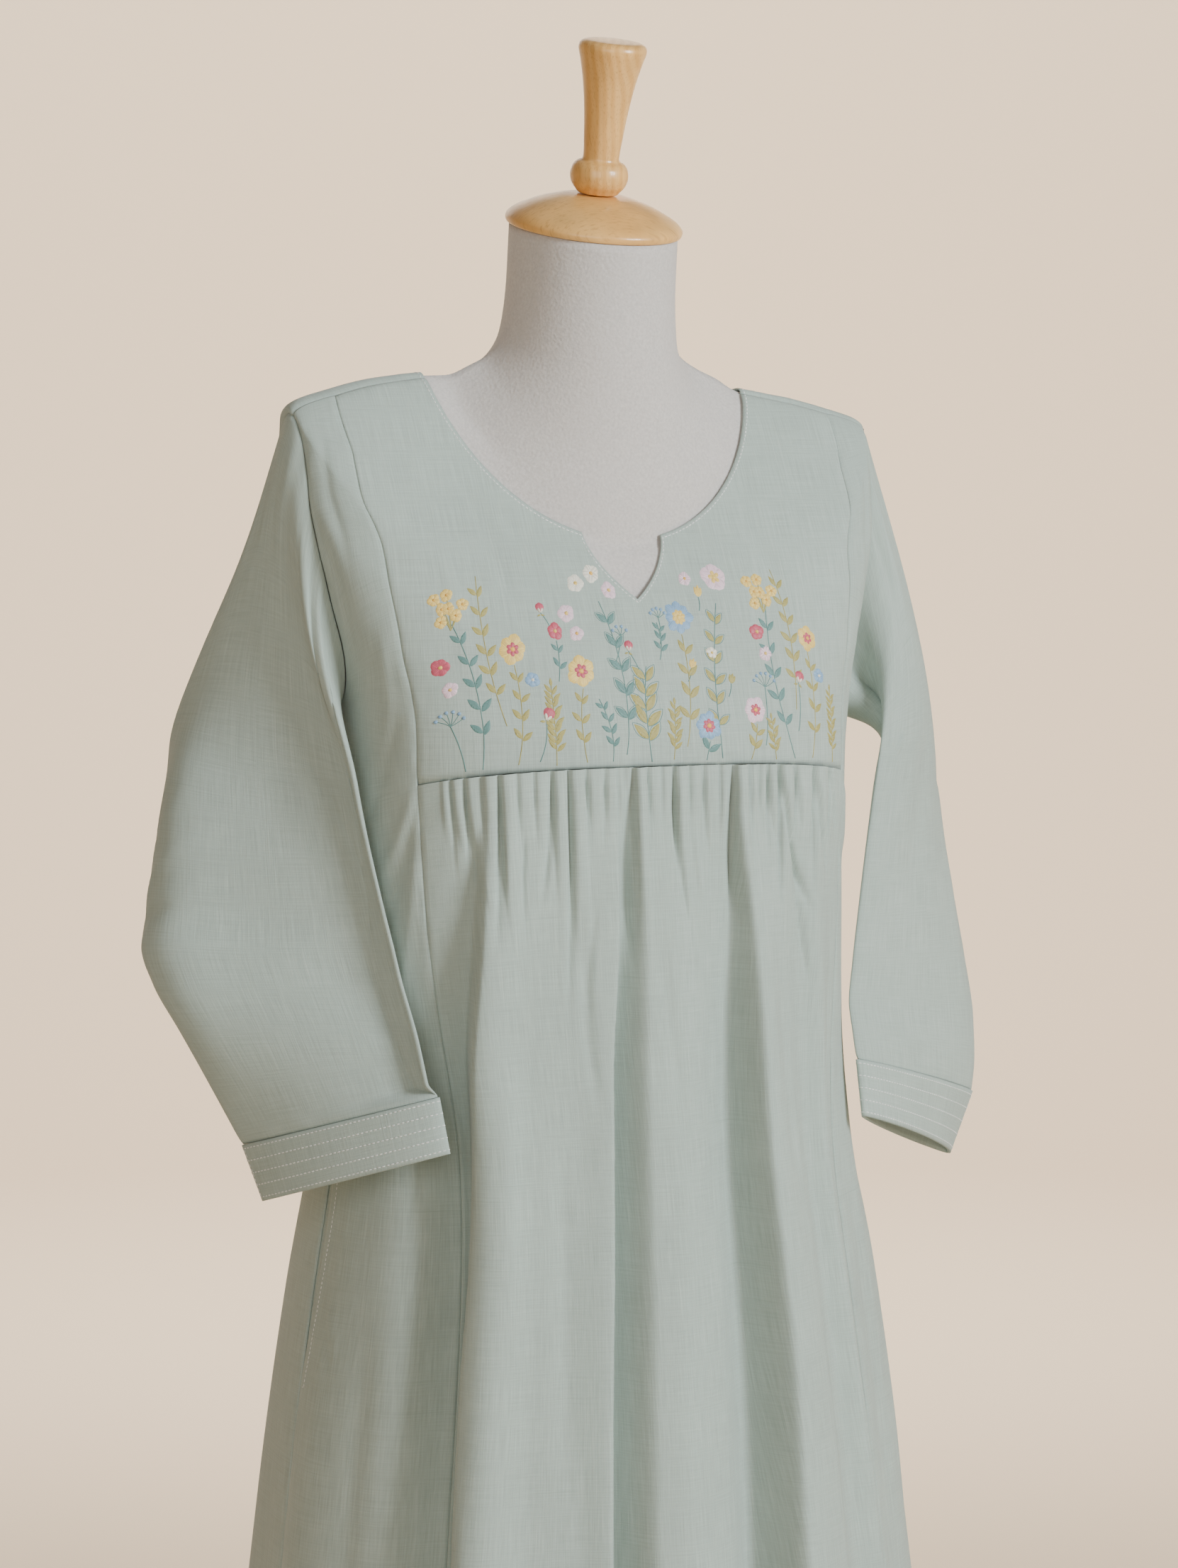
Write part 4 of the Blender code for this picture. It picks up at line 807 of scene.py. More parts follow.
sleeves = {
    "around": 16, "capTimes": 6, "rowTimes": 14, "rows": 7, "cuffRows": 15, "cuffWall": 0.0026,
    "capSteps": (0.0, 0.1, 0.24, 0.42, 0.62, 0.82, 1.0), "capOut": 0.3, "capDown": -0.95, "capMeets": 0.08,
    "seat": 0.0002, "seatUnder": 0.0004, "crease": 1.25, "innerLayer": 0.5,
    "clothPerDegree": 0.00078, "topEase": 0.006, "endEase": 0.01,
    "flat": (0.36, 0.48), "area": {-1: 0.118, 1: 0.103}, "cuffFlat": {-1: (0.27, 0.042), 1: (0.34, 0.044)},
    # from the armhole down: front crease, back fold, half the thickness; -1 is the wearer's right, 1 the left
    "sections": {-1: (
        ((-0.183, -0.054, 1.141), (-0.266, 0.075, 1.16), 0.024),
        ((-0.176, -0.062, 1.098), (-0.278, 0.06, 1.098), 0.024),
        ((-0.17, -0.07, 1.061), (-0.288, 0.051, 1.056), 0.023),
        ((-0.166, -0.077, 1.035), (-0.296, 0.043, 1.03), 0.022),
        ((-0.163, -0.082, 1.015), (-0.292, 0.034, 1.01), 0.021),
        ((-0.158, -0.094, 0.982), (-0.279, 0.021, 0.98), 0.018),
        ((-0.156, -0.102, 0.96), (-0.259, 0.006, 0.934), 0.015),
        ((-0.154, -0.107, 0.943), (-0.247, -0.005, 0.905), 0.014),
    ), 1: (
        ((0.203, -0.049, 1.15), (0.285, 0.033, 1.152), 0.018),
        ((0.19, -0.057, 1.098), (0.294, 0.029, 1.096), 0.016),
        ((0.18, -0.063, 1.052), (0.3, 0.021, 1.047), 0.015),
        ((0.172, -0.068, 1.012), (0.305, 0.012, 1.002), 0.014),
        ((0.166, -0.074, 0.98), (0.309, 0.005, 0.958), 0.013),
        ((0.166, -0.08, 0.96), (0.309, 0.003, 0.93), 0.013),
        ((0.167, -0.083, 0.946), (0.307, 0.003, 0.905), 0.013),
    )},
    # a cuff goes on from its sleeve's last section to this one
    "cuffEnd": {-1: ((-0.152, -0.119, 0.908), (-0.237, -0.016, 0.869), 0.015),
                1: ((0.168, -0.09, 0.908), (0.291, 0.008, 0.861), 0.014)},
    # across is millimetres round from the middle of the outer layer, positive to the front crease; along is
    # millimetres of cloth down from the armhole
    "creases": {-1: (
        (24, 60, 26, 450, 0, 92, -20.0, 0.0), (-36, 200, -36, 450, 0, 40, 12.0, 0.0),
        (-62, 200, -50, 400, 2, 16, 1.6, 0.0), (66, 4, 66, 170, 0, 4, 2.0, 0.0),
        (61, 4, 61, 175, 0, 5, -2.6, 0.0), (48, 10, 30, 130, 4, 12, -1.0, 0.0),
        (20, 6, 8, 120, -3, 14, 1.0, 0.0), (-14, 8, -24, 110, 3, 12, -0.9, 0.0),
        (-46, 10, -52, 130, 2, 12, 1.0, 0.0), (-68, 250, -30, 236, 2, 11, -1.5, 0.0),
        (-70, 272, -20, 286, -3, 12, 1.2, 0.0), (-64, 300, -34, 322, 2, 10, -1.1, 0.0),
        (30, 210, 60, 250, 2, 12, -0.9, 0.0), (10, 150, 2, 290, 4, 22, -1.1, 0.0),
        (36, 320, 26, 410, 2, 16, 0.9, 0.0), (110, 40, 118, 160, 3, 16, -1.4, 0.0),
        (160, 60, 150, 200, -3, 18, -1.4, 0.0), (128, 210, 176, 240, 2, 14, -1.5, 0.0),
        (140, 290, 130, 400, 2, 16, 1.2, 0.0),
    ), 1: (
        (52, 4, 40, 90, 2, 8, -1.5, 0.0), (38, 4, 22, 130, 3, 10, 1.5, 0.0),
        (14, 6, -4, 160, 4, 12, -1.4, 0.0), (-20, 8, -30, 130, 3, 12, 1.1, 0.0),
        (-44, 10, -48, 120, 2, 10, -1.0, 0.0), (60, 120, 40, 240, 3, 14, -1.2, 0.0),
        (-60, 230, -20, 250, 2, 12, -1.2, 0.0), (0, 200, 12, 330, 4, 20, -1.2, 0.0),
        (-40, 290, -34, 400, 2, 16, 1.0, 0.0), (87, -14, 90, 96, 0, 38, -19.0, 0.0),
        (112, 50, 120, 170, 3, 16, -1.4, 0.0), (158, 70, 148, 210, -3, 18, 1.3, 0.0),
        (132, 260, 170, 290, 2, 14, -1.3, 0.0),
    )},
}


def armholeLoop(side, steps):
    # shoulder tip, down the front of the armhole, underarm, up the back
    frontLevel, frontAngle = armholeCurve(-body["armholeForward"], steps)
    backLevel, backAngle = armholeCurve(body["armholeBackward"], steps)
    level = np.concatenate([frontLevel, backLevel[-2:0:-1]])
    angle = np.concatenate([frontAngle, backAngle[-2:0:-1]])
    loop = bodyPoint(level, angle * side)
    turn = np.linspace(0.0, 2.0 * math.pi, len(loop), endpoint=False)
    seat = sleeves["seat"] + (sleeves["seatUnder"] - sleeves["seat"]) * (1.0 - np.cos(turn)) / 2.0
    loop[:, 0] += side * seat
    return loop, turn


def pressedSections(table, share, turn, side):
    # flattened rings between a front crease and a back fold, lens shaped, the layer next to the body flatter
    rows = np.linspace(0.0, 1.0, len(table))
    front, back = (np.stack([readCurve(rows, [row[edge][i] for row in table], share) for i in range(3)],
                            axis=-1) for edge in (0, 1))
    half = readCurve(rows, [row[2] for row in table], share)
    centre = (front + back) / 2.0
    reach = front - centre
    out = unit(np.stack([-reach[:, 1], reach[:, 0], np.zeros(len(reach))], axis=-1))
    out = out * np.where(out[:, :1] * side < 0.0, -1.0, 1.0)
    swell = np.sign(np.cos(turn)) * np.abs(np.cos(turn)) ** sleeves["crease"]
    swell = np.where(swell < 0.0, sleeves["innerLayer"] * swell, swell)
    return (centre[:, None] + np.sin(turn)[None, :, None] * reach[:, None]
            + half[:, None, None] * swell[None, :, None] * out[:, None])


def sleeveGrid(side):
    # a cap that leaves the armhole sideways and turns down into the pressed tube, as one grid
    table = sleeves["sections"][side]
    loop, turn = armholeLoop(side, body["armholeSteps"] * sleeves["around"] // 2)
    first, second = pressedSections(table, np.array([0.0, sleeves["capMeets"]]), turn, side)
    length = np.linalg.norm(first - loop, axis=1, keepdims=True)
    start = np.array([sleeves["capOut"] * side, 0.0, sleeves["capDown"]]) * length
    finish = unit(second - first) * length
    t = refine(sleeves["capSteps"], sleeves["capTimes"])[:-1, None, None]
    cap = loop * (1.0 + 2.0 * t) * (1.0 - t) ** 2 + start * t * (1.0 - t) ** 2
    cap = cap + first * t * t * (3.0 - 2.0 * t) - finish * t * t * (1.0 - t)
    rows = sleeves["rows"] * sleeves["rowTimes"] + 1
    grid = np.concatenate([cap, pressedSections(table, np.linspace(0.0, 1.0, rows), turn, side)])
    along = edgeDistance(grid, "top")
    degrees = np.degrees((turn + math.pi / 2.0) % (2.0 * math.pi)) - 90.0
    depth = creaseDepth(sleeves["creases"][side], degrees[None, :] * sleeves["clothPerDegree"], along)
    depth = depth * softStep(along / sleeves["topEase"])
    depth = depth * softStep(edgeDistance(grid, "bottom") / sleeves["endEase"])
    depth = depth + seamDip(grid, ("top", "bottom"), depth=0.0006, pucker=0.0003)
    grid = grid + surfaceNormals(grid, True) * depth[..., None]
    pullIn(grid, "bottom", body["seamInset"])
    return grid


def cuffGrid(side):
    # a band that goes straight on from its sleeve's last section
    turn = np.linspace(0.0, 2.0 * math.pi, body["armholeSteps"] * sleeves["around"], endpoint=False)
    table = (sleeves["sections"][side][-1], sleeves["cuffEnd"][side])
    grid = pressedSections(table, np.linspace(0.0, 1.0, sleeves["cuffRows"]), turn, side)
    pullIn(grid, "top", body["seamInset"])
    return grid


for side, name in ((-1, "Right"), (1, "Left")):
    addCloth("sleeve" + name + "Cloth", "sleeve_" + name.lower(), sleeveGrid(side),
             closed=True)
cuffGrids = {-1: cuffGrid(-1), 1: cuffGrid(1)}
for side, name in ((-1, "Right"), (1, "Left")):
    addCloth("cuff" + name + "Cloth", "cuff_" + name.lower(), cuffGrids[side],
             closed=True, thick=sleeves["cuffWall"])

# pocket

pocket = {
    "behind": 0.002, "rowSteps": 8, "columns": 26, "flat": (0.12, 0.24),
    # the skirt's levels from one to before the other, columns behind the seam and how far back they reach
    "levels": (4, 11), "backColumns": 8, "backReach": 12,
}


def pocketGrid():
    # the layer behind the mouth: the side front's and the back's own surface, set back a little
    first, last = pocket["levels"]
    level = refine(body["skirtLevels"][first:last], pocket["rowSteps"])
    inner = princessAngle(level)[:, None]
    share = np.linspace(0.5, 1.0, pocket["columns"])[None, :]
    behind = np.linspace(0.0, backShares()[pocket["backReach"]], pocket["backColumns"] + 1)[1:][None, :]
    back = body["sideAngle"] + (2.0 * math.pi - 2.0 * body["sideAngle"]) * behind
    back = np.broadcast_to(back, (len(level), pocket["backColumns"]))
    angle = np.concatenate([inner + (body["sideAngle"] - inner) * share, back], axis=1)
    levels = np.broadcast_to(level[:, None], angle.shape)
    grid = bodyPoint(levels, -angle)
    sideShare = np.concatenate([share, np.ones_like(behind)], axis=1)
    backShare = np.concatenate([np.ones_like(share), 1.0 - behind], axis=1)
    depth = softFolds(sideFront["folds"], sideShare, grid[..., 2])
    depth = depth + softFolds(backPanel["folds"], backShare, grid[..., 2])
    return grid + flatOutward(levels, -angle) * (depth - pocket["behind"])[..., None]


addCloth("pocketRightCloth", "pocket_right", pocketGrid())
print("garment pieces ready")

# dress form: padded trunk and neck in fine jersey

form = {
    # half width, side height, front, front height, back, back height, middle
    "trunk": (
        (0.11, 0.722, 0.085, 0.722, 0.095, 0.722, 0.0), (0.148, 0.727, 0.106, 0.727, 0.123, 0.727, 0.0),
        (0.158, 0.745, 0.11, 0.745, 0.13, 0.745, 0.0), (0.162, 0.8, 0.108, 0.8, 0.132, 0.8, 0.0),
        (0.162, 0.86, 0.103, 0.86, 0.124, 0.86, 0.0), (0.148, 0.94, 0.093, 0.94, 0.102, 0.94, 0.0),
        (0.13, 1.02, 0.085, 1.02, 0.085, 1.02, 0.0), (0.14, 1.085, 0.093, 1.09, 0.088, 1.085, 0.0),
    ),
    "coveredLevel": (8.0, 7.0, 6.0, 5.0, 4.0, 3.4, 2.9, 2.1, 1.4, 0.7, 0.0),
    "clearance": (0.016, 0.008, 0.007, 0.008, 0.006, 0.006, 0.0045, 0.003, 0.0018, 0.0016, 0.0018),
    "neck": (
        (0.1, 1.405, 0.059, 1.318, 0.059, 1.39, -0.001), (0.084, 1.4115, 0.057, 1.345, 0.058, 1.398, -0.003),
        (0.07, 1.42, 0.056, 1.378, 0.057, 1.411, -0.006), (0.06, 1.437, 0.0555, 1.412, 0.056, 1.433, -0.01),
        (0.0565, 1.468, 0.0555, 1.455, 0.0555, 1.47, -0.014),
        (0.056, 1.502, 0.056, 1.488, 0.056, 1.516, -0.018),
    ),
    "around": 120, "times": 6,
    "colour": (0.6, 0.565, 0.535), "light": (0.68, 0.645, 0.615), "dark": (0.5, 0.47, 0.445),
}


def formRings(table, turn):
    # ring of the row's width and depths, tilted from its side height to its middle heights
    halfWidth, sideZ, front, frontZ, back, backZ, middle = np.array(table).T[:, :, None]
    sine, cosine = np.sin(turn)[None, :], np.cos(turn)[None, :]
    depth = np.where(cosine > 0.0, front, back)
    middleZ = np.where(cosine > 0.0, frontZ, backZ)
    height = sideZ + (middleZ - sideZ) * np.abs(cosine)
    return np.stack([halfWidth * sine, middle - depth * cosine, height], axis=-1)


def smoothRows(grid, times):
    # a smooth curve down every column of a coarse grid, through each of its rows
    rows = np.arange(len(grid), dtype=float)
    at = np.linspace(0.0, rows[-1], (len(grid) - 1) * times + 1)
    flat = grid.reshape(len(grid), -1).T
    lines = readCurve(np.broadcast_to(rows, flat.shape), flat, np.broadcast_to(at, (len(flat), len(at))))
    return lines.T.reshape(len(at), *grid.shape[1:])


def makeJersey():
    # fine knit with a soft nap: a small grain over crepe cells, in two tones that clouds even out
    material, tree, shader = newMaterial("formJersey")
    place = tree.nodes.new("ShaderNodeTexCoord").outputs["Object"]
    grain = addPattern(tree, "TexNoise", place,
                       {"Scale": 520.0, "Detail": 3.0, "Roughness": 0.62}).outputs["Fac"]
    crepe = addPattern(tree, "TexVoronoi", place, {"Scale": 430.0}).outputs["Distance"]
    cloud = addPattern(tree, "TexNoise", place, {"Scale": 14.0, "Detail": 3.0}).outputs["Fac"]
    base = colourMix(tree, remap(tree, grain, 0.34, 0.66), form["dark"], form["light"])
    even = colourMix(tree, remap(tree, cloud, 0.3, 0.7, 0.35, 0.65), base, form["colour"])
    tree.links.new(even, shader.inputs["Base Color"])
    height = mathNode(tree, "ADD", grain, mathNode(tree, "MULTIPLY", crepe, 0.7))
    addBump(tree, shader, height, 0.35, 0.0008)
    tree.links.new(remap(tree, grain, 0.3, 0.7, 0.86, 0.98), shader.inputs["Roughness"])
    setInputs(shader, {"Specular IOR Level": 0.18, "Sheen Weight": 0.35, "Sheen Roughness": 0.5})
    return material


def addForm():
    # plain rings under the waist, rings a little inside the cloth and the neck, closed at both ends
    turn = np.linspace(0.0, 2.0 * math.pi, form["around"], endpoint=False)
    level, angle = np.broadcast_arrays(np.array(form["coveredLevel"])[:, None], turn[None, :])
    covered = bodyPoint(level, angle) - outward(level, angle) * np.array(form["clearance"])[:, None, None]
    rings = np.concatenate([formRings(form["trunk"], turn), covered, formRings(form["neck"], turn)])
    grid = smoothRows(rings, form["times"])
    bottom, top = grid[0].mean(axis=0), grid[-1].mean(axis=0)
    count, last = form["around"], (len(grid) - 1) * form["around"]
    points = np.concatenate([grid.reshape(-1, 3), [bottom, top]])
    faces = gridQuads(len(grid), count, True)[:, ::-1]
    ring = np.arange(0, count, 2)
    after = (ring + 2) % count
    end = np.full(len(ring), len(points) - 1)
    low = np.stack([end - 1, after, ring + 1, ring], axis=-1)
    high = np.stack([end, last + ring, last + ring + 1, last + after], axis=-1)
    formSkin = linkMesh("formSkin", points, np.concatenate([faces, low, high]), makeJersey())
    fitPiece(formSkin, "form_torso")


addForm()
print("dress form ready")

# turned wood: neck cap, finial, pole and base

turnedWood = {
    "capTilt": math.atan2(0.014, 0.056), "capSeat": (0.0, -0.018, 1.5023), "finialUp": 0.0238,
    "cap": ((0.0, 0.0235), (0.018, 0.0225), (0.034, 0.0185), (0.048, 0.0125), (0.0575, 0.0065),
            (0.0592, 0.0035), (0.0585, 0.0008), (0.057, 0.0), (0.0, 0.0)),
    "finial": ((0.0, 0.101), (0.0165, 0.1005), (0.0215, 0.0985), (0.0226, 0.0955), (0.0208, 0.088),
               (0.0176, 0.074), (0.0148, 0.056), (0.013, 0.038), (0.012, 0.024), (0.0126, 0.0222),
               (0.0158, 0.0205), (0.0186, 0.0165), (0.0194, 0.012), (0.0184, 0.007), (0.0152, 0.0025),
               (0.0125, 0.0), (0.0, 0.0)),
    "pole": ((0.0, 0.7217), (0.0138, 0.7217), (0.015, 0.7205), (0.015, 0.0463), (0.0, 0.0463)),
    "base": ((0.0, 0.046), (0.021, 0.046), (0.0235, 0.043), (0.025, 0.03), (0.034, 0.0255), (0.08, 0.024),
             (0.15, 0.0205), (0.166, 0.0165), (0.17, 0.012), (0.17, 0.004), (0.168, 0.0), (0.0, 0.0)),
    "steps": 128, "times": 6,
    "light": (0.86, 0.5, 0.165), "middle": (0.77, 0.415, 0.12), "dark": (0.46, 0.2, 0.048),
    "roughness": 0.34, "coat": 0.3, "coatRoughness": 0.12,
}


def makeWood(name, moved, turned, stretched, ringScale):
    # growth rings that sway round the log's own axis, with fine pores drawn out along it
    material, tree, shader = newMaterial(name)
    log = addPattern(tree, "Mapping", tree.nodes.new("ShaderNodeTexCoord").outputs["Object"],
                     {"Location": moved, "Rotation": turned, "Scale": stretched}).outputs["Vector"]
    sway = addPattern(tree, "TexNoise", log, {"Scale": 2.2, "Detail": 3.0}).outputs["Fac"]
    rings = addPattern(tree, "TexWave", log,
                       {"Scale": ringScale, "Distortion": 3.0, "Detail": 3.0, "Detail Scale": 1.4})
    rings.wave_type = "RINGS"
    rings.rings_direction = "Z"
    pores = addPattern(tree, "Mapping", log, {"Scale": (9.0, 9.0, 0.8)}).outputs["Vector"]
    fine = addPattern(tree, "TexNoise", pores, {"Scale": 4.0, "Detail": 4.0}).outputs["Fac"]
    base = colourMix(tree, remap(tree, rings.outputs["Fac"], 0.15, 0.9), turnedWood["light"],
                     turnedWood["middle"])
    veined = colourMix(tree, remap(tree, fine, 0.53, 0.72, 0.0, 0.5), base, turnedWood["dark"])
    shade = addShade(tree, remap(tree, sway, 0.3, 0.7, 0.9, 1.1), veined)
    tree.links.new(shade, shader.inputs["Base Color"])
    addBump(tree, shader, fine, 0.06, 0.0004)
    rough = turnedWood["roughness"]
    tree.links.new(remap(tree, fine, 0.3, 0.7, rough - 0.04, rough + 0.06), shader.inputs["Roughness"])
    setInputs(shader, {"Coat Weight": turnedWood["coat"], "Coat Roughness": turnedWood["coatRoughness"]})
    return material


def addTurned(name, node, part, grain, seat=(0.0, 0.0, 0.0), tilt=0.0):
    # the profile is read as a smooth curve by its own length, then carried round its axis and leant forward
    profile = np.array(turnedWood[part])
    length = np.concatenate([[0.0], np.cumsum(np.hypot(*np.diff(profile, axis=0).T))])
    at = refine(length, turnedWood["times"])
    radius, height = readCurve(length, profile[:, 0], at), readCurve(length, profile[:, 1], at)
    grid = turnedGrid(np.maximum(radius, 0.00002), height, turnedWood["steps"])
    cosine, sine = math.cos(tilt), math.sin(tilt)
    leant = np.stack([grid[..., 0], grid[..., 1] * cosine - grid[..., 2] * sine,
                      grid[..., 1] * sine + grid[..., 2] * cosine], axis=-1) + np.array(seat)
    piece = linkMesh(name, leant.reshape(-1, 3), gridQuads(len(at), turnedWood["steps"], True),
                     makeWood(part + "Wood", *grain))
    fitPiece(piece, node)


tilt, seat, up = turnedWood["capTilt"], turnedWood["capSeat"], turnedWood["finialUp"]
addTurned("neckCapTurned", "neck_cap", "cap", ((0.13, 0.02, -1.2), (0.2, 1.35, 0.3), (22.0, 22.0, 5.0), 0.8),
          seat, tilt)
addTurned("finialTurned", "finial", "finial", ((1.6, 0.9, 0.0), (0.03, -0.05, 0.0), (30.0, 30.0, 2.2), 1.9),
          (0.0, seat[1] - math.sin(tilt) * up, seat[2] + math.cos(tilt) * up), tilt)
addTurned("poleTurned", "pole", "pole", ((0.01, 0.02, 0.0), (0.02, 0.03, 0.0), (30.0, 30.0, 3.0), 1.0))
addTurned("baseTurned", "base", "base", ((0.3, 0.05, 0.0), (0.1, 1.45, 0.2), (14.0, 14.0, 3.0), 0.8))
print("turned wood ready")

# topstitching: short raised stitches along lines in from an edge

stitching = {
    "pitch": 0.0031, "length": 0.0022, "radius": 0.0004, "colour": (0.88, 0.91, 0.87), "hemIn": 0.018,
    "neckIn": 0.0026, "pocketIn": 0.009, "pocketTop": 0.955, "pocketBottom": 0.742, "tackIn": 0.0012,
    "cuffRows": (1, 4, 7, 10, 13), "cuffSeam": 0.785, "sunk": 0.00006,
}


def makeThread(name, colour, shine=0.5):
    # twisted floss: fine strands across its own map, with painted highlight on their backs and painted shade
    # between them
    material, tree, shader = newMaterial(name)
    stretched = addPattern(tree, "Mapping", readMap(tree, "thread"), {"Scale": (2400.0, 150.0, 1.0)})
    strand = addPattern(tree, "TexNoise", stretched.outputs["Vector"],
                        {"Scale": 1.0, "Detail": 2.0}).outputs["Fac"]
    # painted highlight on the strands' backs and painted shade between them, on the same noise as the bump
    paintedStrandShade = colourMix(tree, remap(tree, strand, 0.34, 0.66), shaded(colour, 0.7), shaded(colour, 1.12))
    tree.links.new(paintedStrandShade, shader.inputs["Base Color"])
    addBump(tree, shader, strand, 0.5, 0.0003)
    tree.links.new(remap(tree, strand, 0.3, 0.7, shine - 0.06, shine + 0.08), shader.inputs["Roughness"])
    setInputs(shader, {"Specular IOR Level": 0.35, "Sheen Weight": 0.25})
    return material


def linkPatches(name, grids, maps, material):
    # many small grids of one size, (n, rows, columns, 3), in one mesh with a map in metres of thread
    count, rows, columns = grids.shape[:3]
    faces = np.arange(count)[:, None, None] * rows * columns + gridQuads(rows, columns, False)[None]
    faces = faces.reshape(-1, 4)
    piece = linkMesh(name, grids.reshape(-1, 3), faces, material)
    layer = piece.data.uv_layers.new(name="thread")
    layer.data.foreach_set("uv", maps.reshape(-1, 2)[faces].astype(np.float32).ravel())
    fitPiece(piece)


def insetLine(grid, edge, inset):
    # the line of places on a grid, with its normals, at a set length of cloth in from one of the grid's edges
    distance, normal = edgeDistance(grid, edge), surfaceNormals(grid)
    if edge in ("first", "last"):
        grid, normal, distance = grid.transpose(1, 0, 2), normal.transpose(1, 0, 2), distance.T
    if edge in ("bottom", "last"):
        grid, normal, distance = grid[::-1], normal[::-1], distance[::-1]
    column = np.arange(grid.shape[1])
    high = np.argmax(distance >= inset, axis=0)
    low = high - 1
    share = ((inset - distance[low, column]) / (distance[high, column] - distance[low, column]))[:, None]
    return (grid[low, column] * (1.0 - share) + grid[high, column] * share,
            unit(normal[low, column] * (1.0 - share) + normal[high, column] * share))


def alongLine(line, at):
    # places at the given lengths along a line of points
    length = np.concatenate([[0.0], np.cumsum(np.linalg.norm(np.diff(line[0], axis=0), axis=-1))])
    places = [np.stack([np.interp(at, length, part[:, i]) for i in range(3)], axis=-1) for part in line]
    return places, length[-1]


def stitchGrids(points, normal, lift):
    # a stitch is a half round that thins to both ends, carried along its stretch of the line
    total = alongLine((points, normal), np.zeros(1))[1]
    count = max(1, int(total / stitching["pitch"]))
    centre = (np.arange(count) + 0.5) * total / count
    t = np.linspace(-0.5, 0.5, 6)
    (place, up), _ = alongLine((points, normal), centre[:, None] + t[None, :] * stitching["length"])
    up = unit(up)
    side = unit(np.cross(up, np.gradient(place, axis=1)))
    turn = np.linspace(0.0, math.pi, 5)
    thick = stitching["radius"] * np.sqrt(1.0 - 0.96 * (2.0 * t) ** 4)
    ring = side[:, :, None] * np.cos(turn)[:, None] + up[:, :, None] * np.sin(turn)[:, None]
    ring = ring * thick[None, :, None, None]
    grids = place[:, :, None] + up[:, :, None] * (lift - stitching["sunk"]) + ring
    maps = np.stack(np.broadcast_arrays(turn[None, None, :] * stitching["radius"],
                                        (centre[:, None] + t * stitching["length"])[:, :, None]), axis=-1)
    return grids, maps


def addStitches():
    # neck and hem, the pocket's mouth with a short row across each end, and each cuff's rows and seam
    half, right = body["wall"] / 2.0, sideGrids[-1]
    lines = [(*insetLine(grid, "top", stitching["neckIn"]), half) for grid in (yokeGrid, backClothGrid)]
    for grid in (skirtGrid, sideGrids[1], right, backClothGrid):
        lines.append((*insetLine(grid, "bottom", stitching["hemIn"]), half))
    mouth, mouthNormal = insetLine(right, "last", stitching["pocketIn"])
    edge, edgeNormal = insetLine(right, "last", stitching["tackIn"])
    height = mouth[:, 2]
    inside = np.flatnonzero((height < stitching["pocketTop"]) & (height > stitching["pocketBottom"]))
    lines.append((mouth[inside], mouthNormal[inside], half))
    for k in (inside[0], inside[-1]):
        lines.append((np.stack([mouth[k], edge[k]]), np.stack([mouthNormal[k], edgeNormal[k]]), half))
    half = sleeves["cuffWall"] / 2.0
    for grid in (cuffGrids[-1], cuffGrids[1]):
        normal, around = surfaceNormals(grid, True), np.append(np.arange(grid.shape[1]), 0)
        for row in stitching["cuffRows"]:
            lines.append((grid[row, around], normal[row, around], half))
        column = int(grid.shape[1] * stitching["cuffSeam"])
        lines.append((grid[1:-1, column], normal[1:-1, column], half))
    made = [stitchGrids(*line) for line in lines]
    grids, maps = np.concatenate([one[0] for one in made]), np.concatenate([one[1] for one in made])
    linkPatches("topstitching", grids, maps, makeThread("stitchThread", stitching["colour"]))
    print("stitches:", len(grids))


addStitches()

# embroidery: a band of wild flowers above the yoke seam, in raised satin stitch

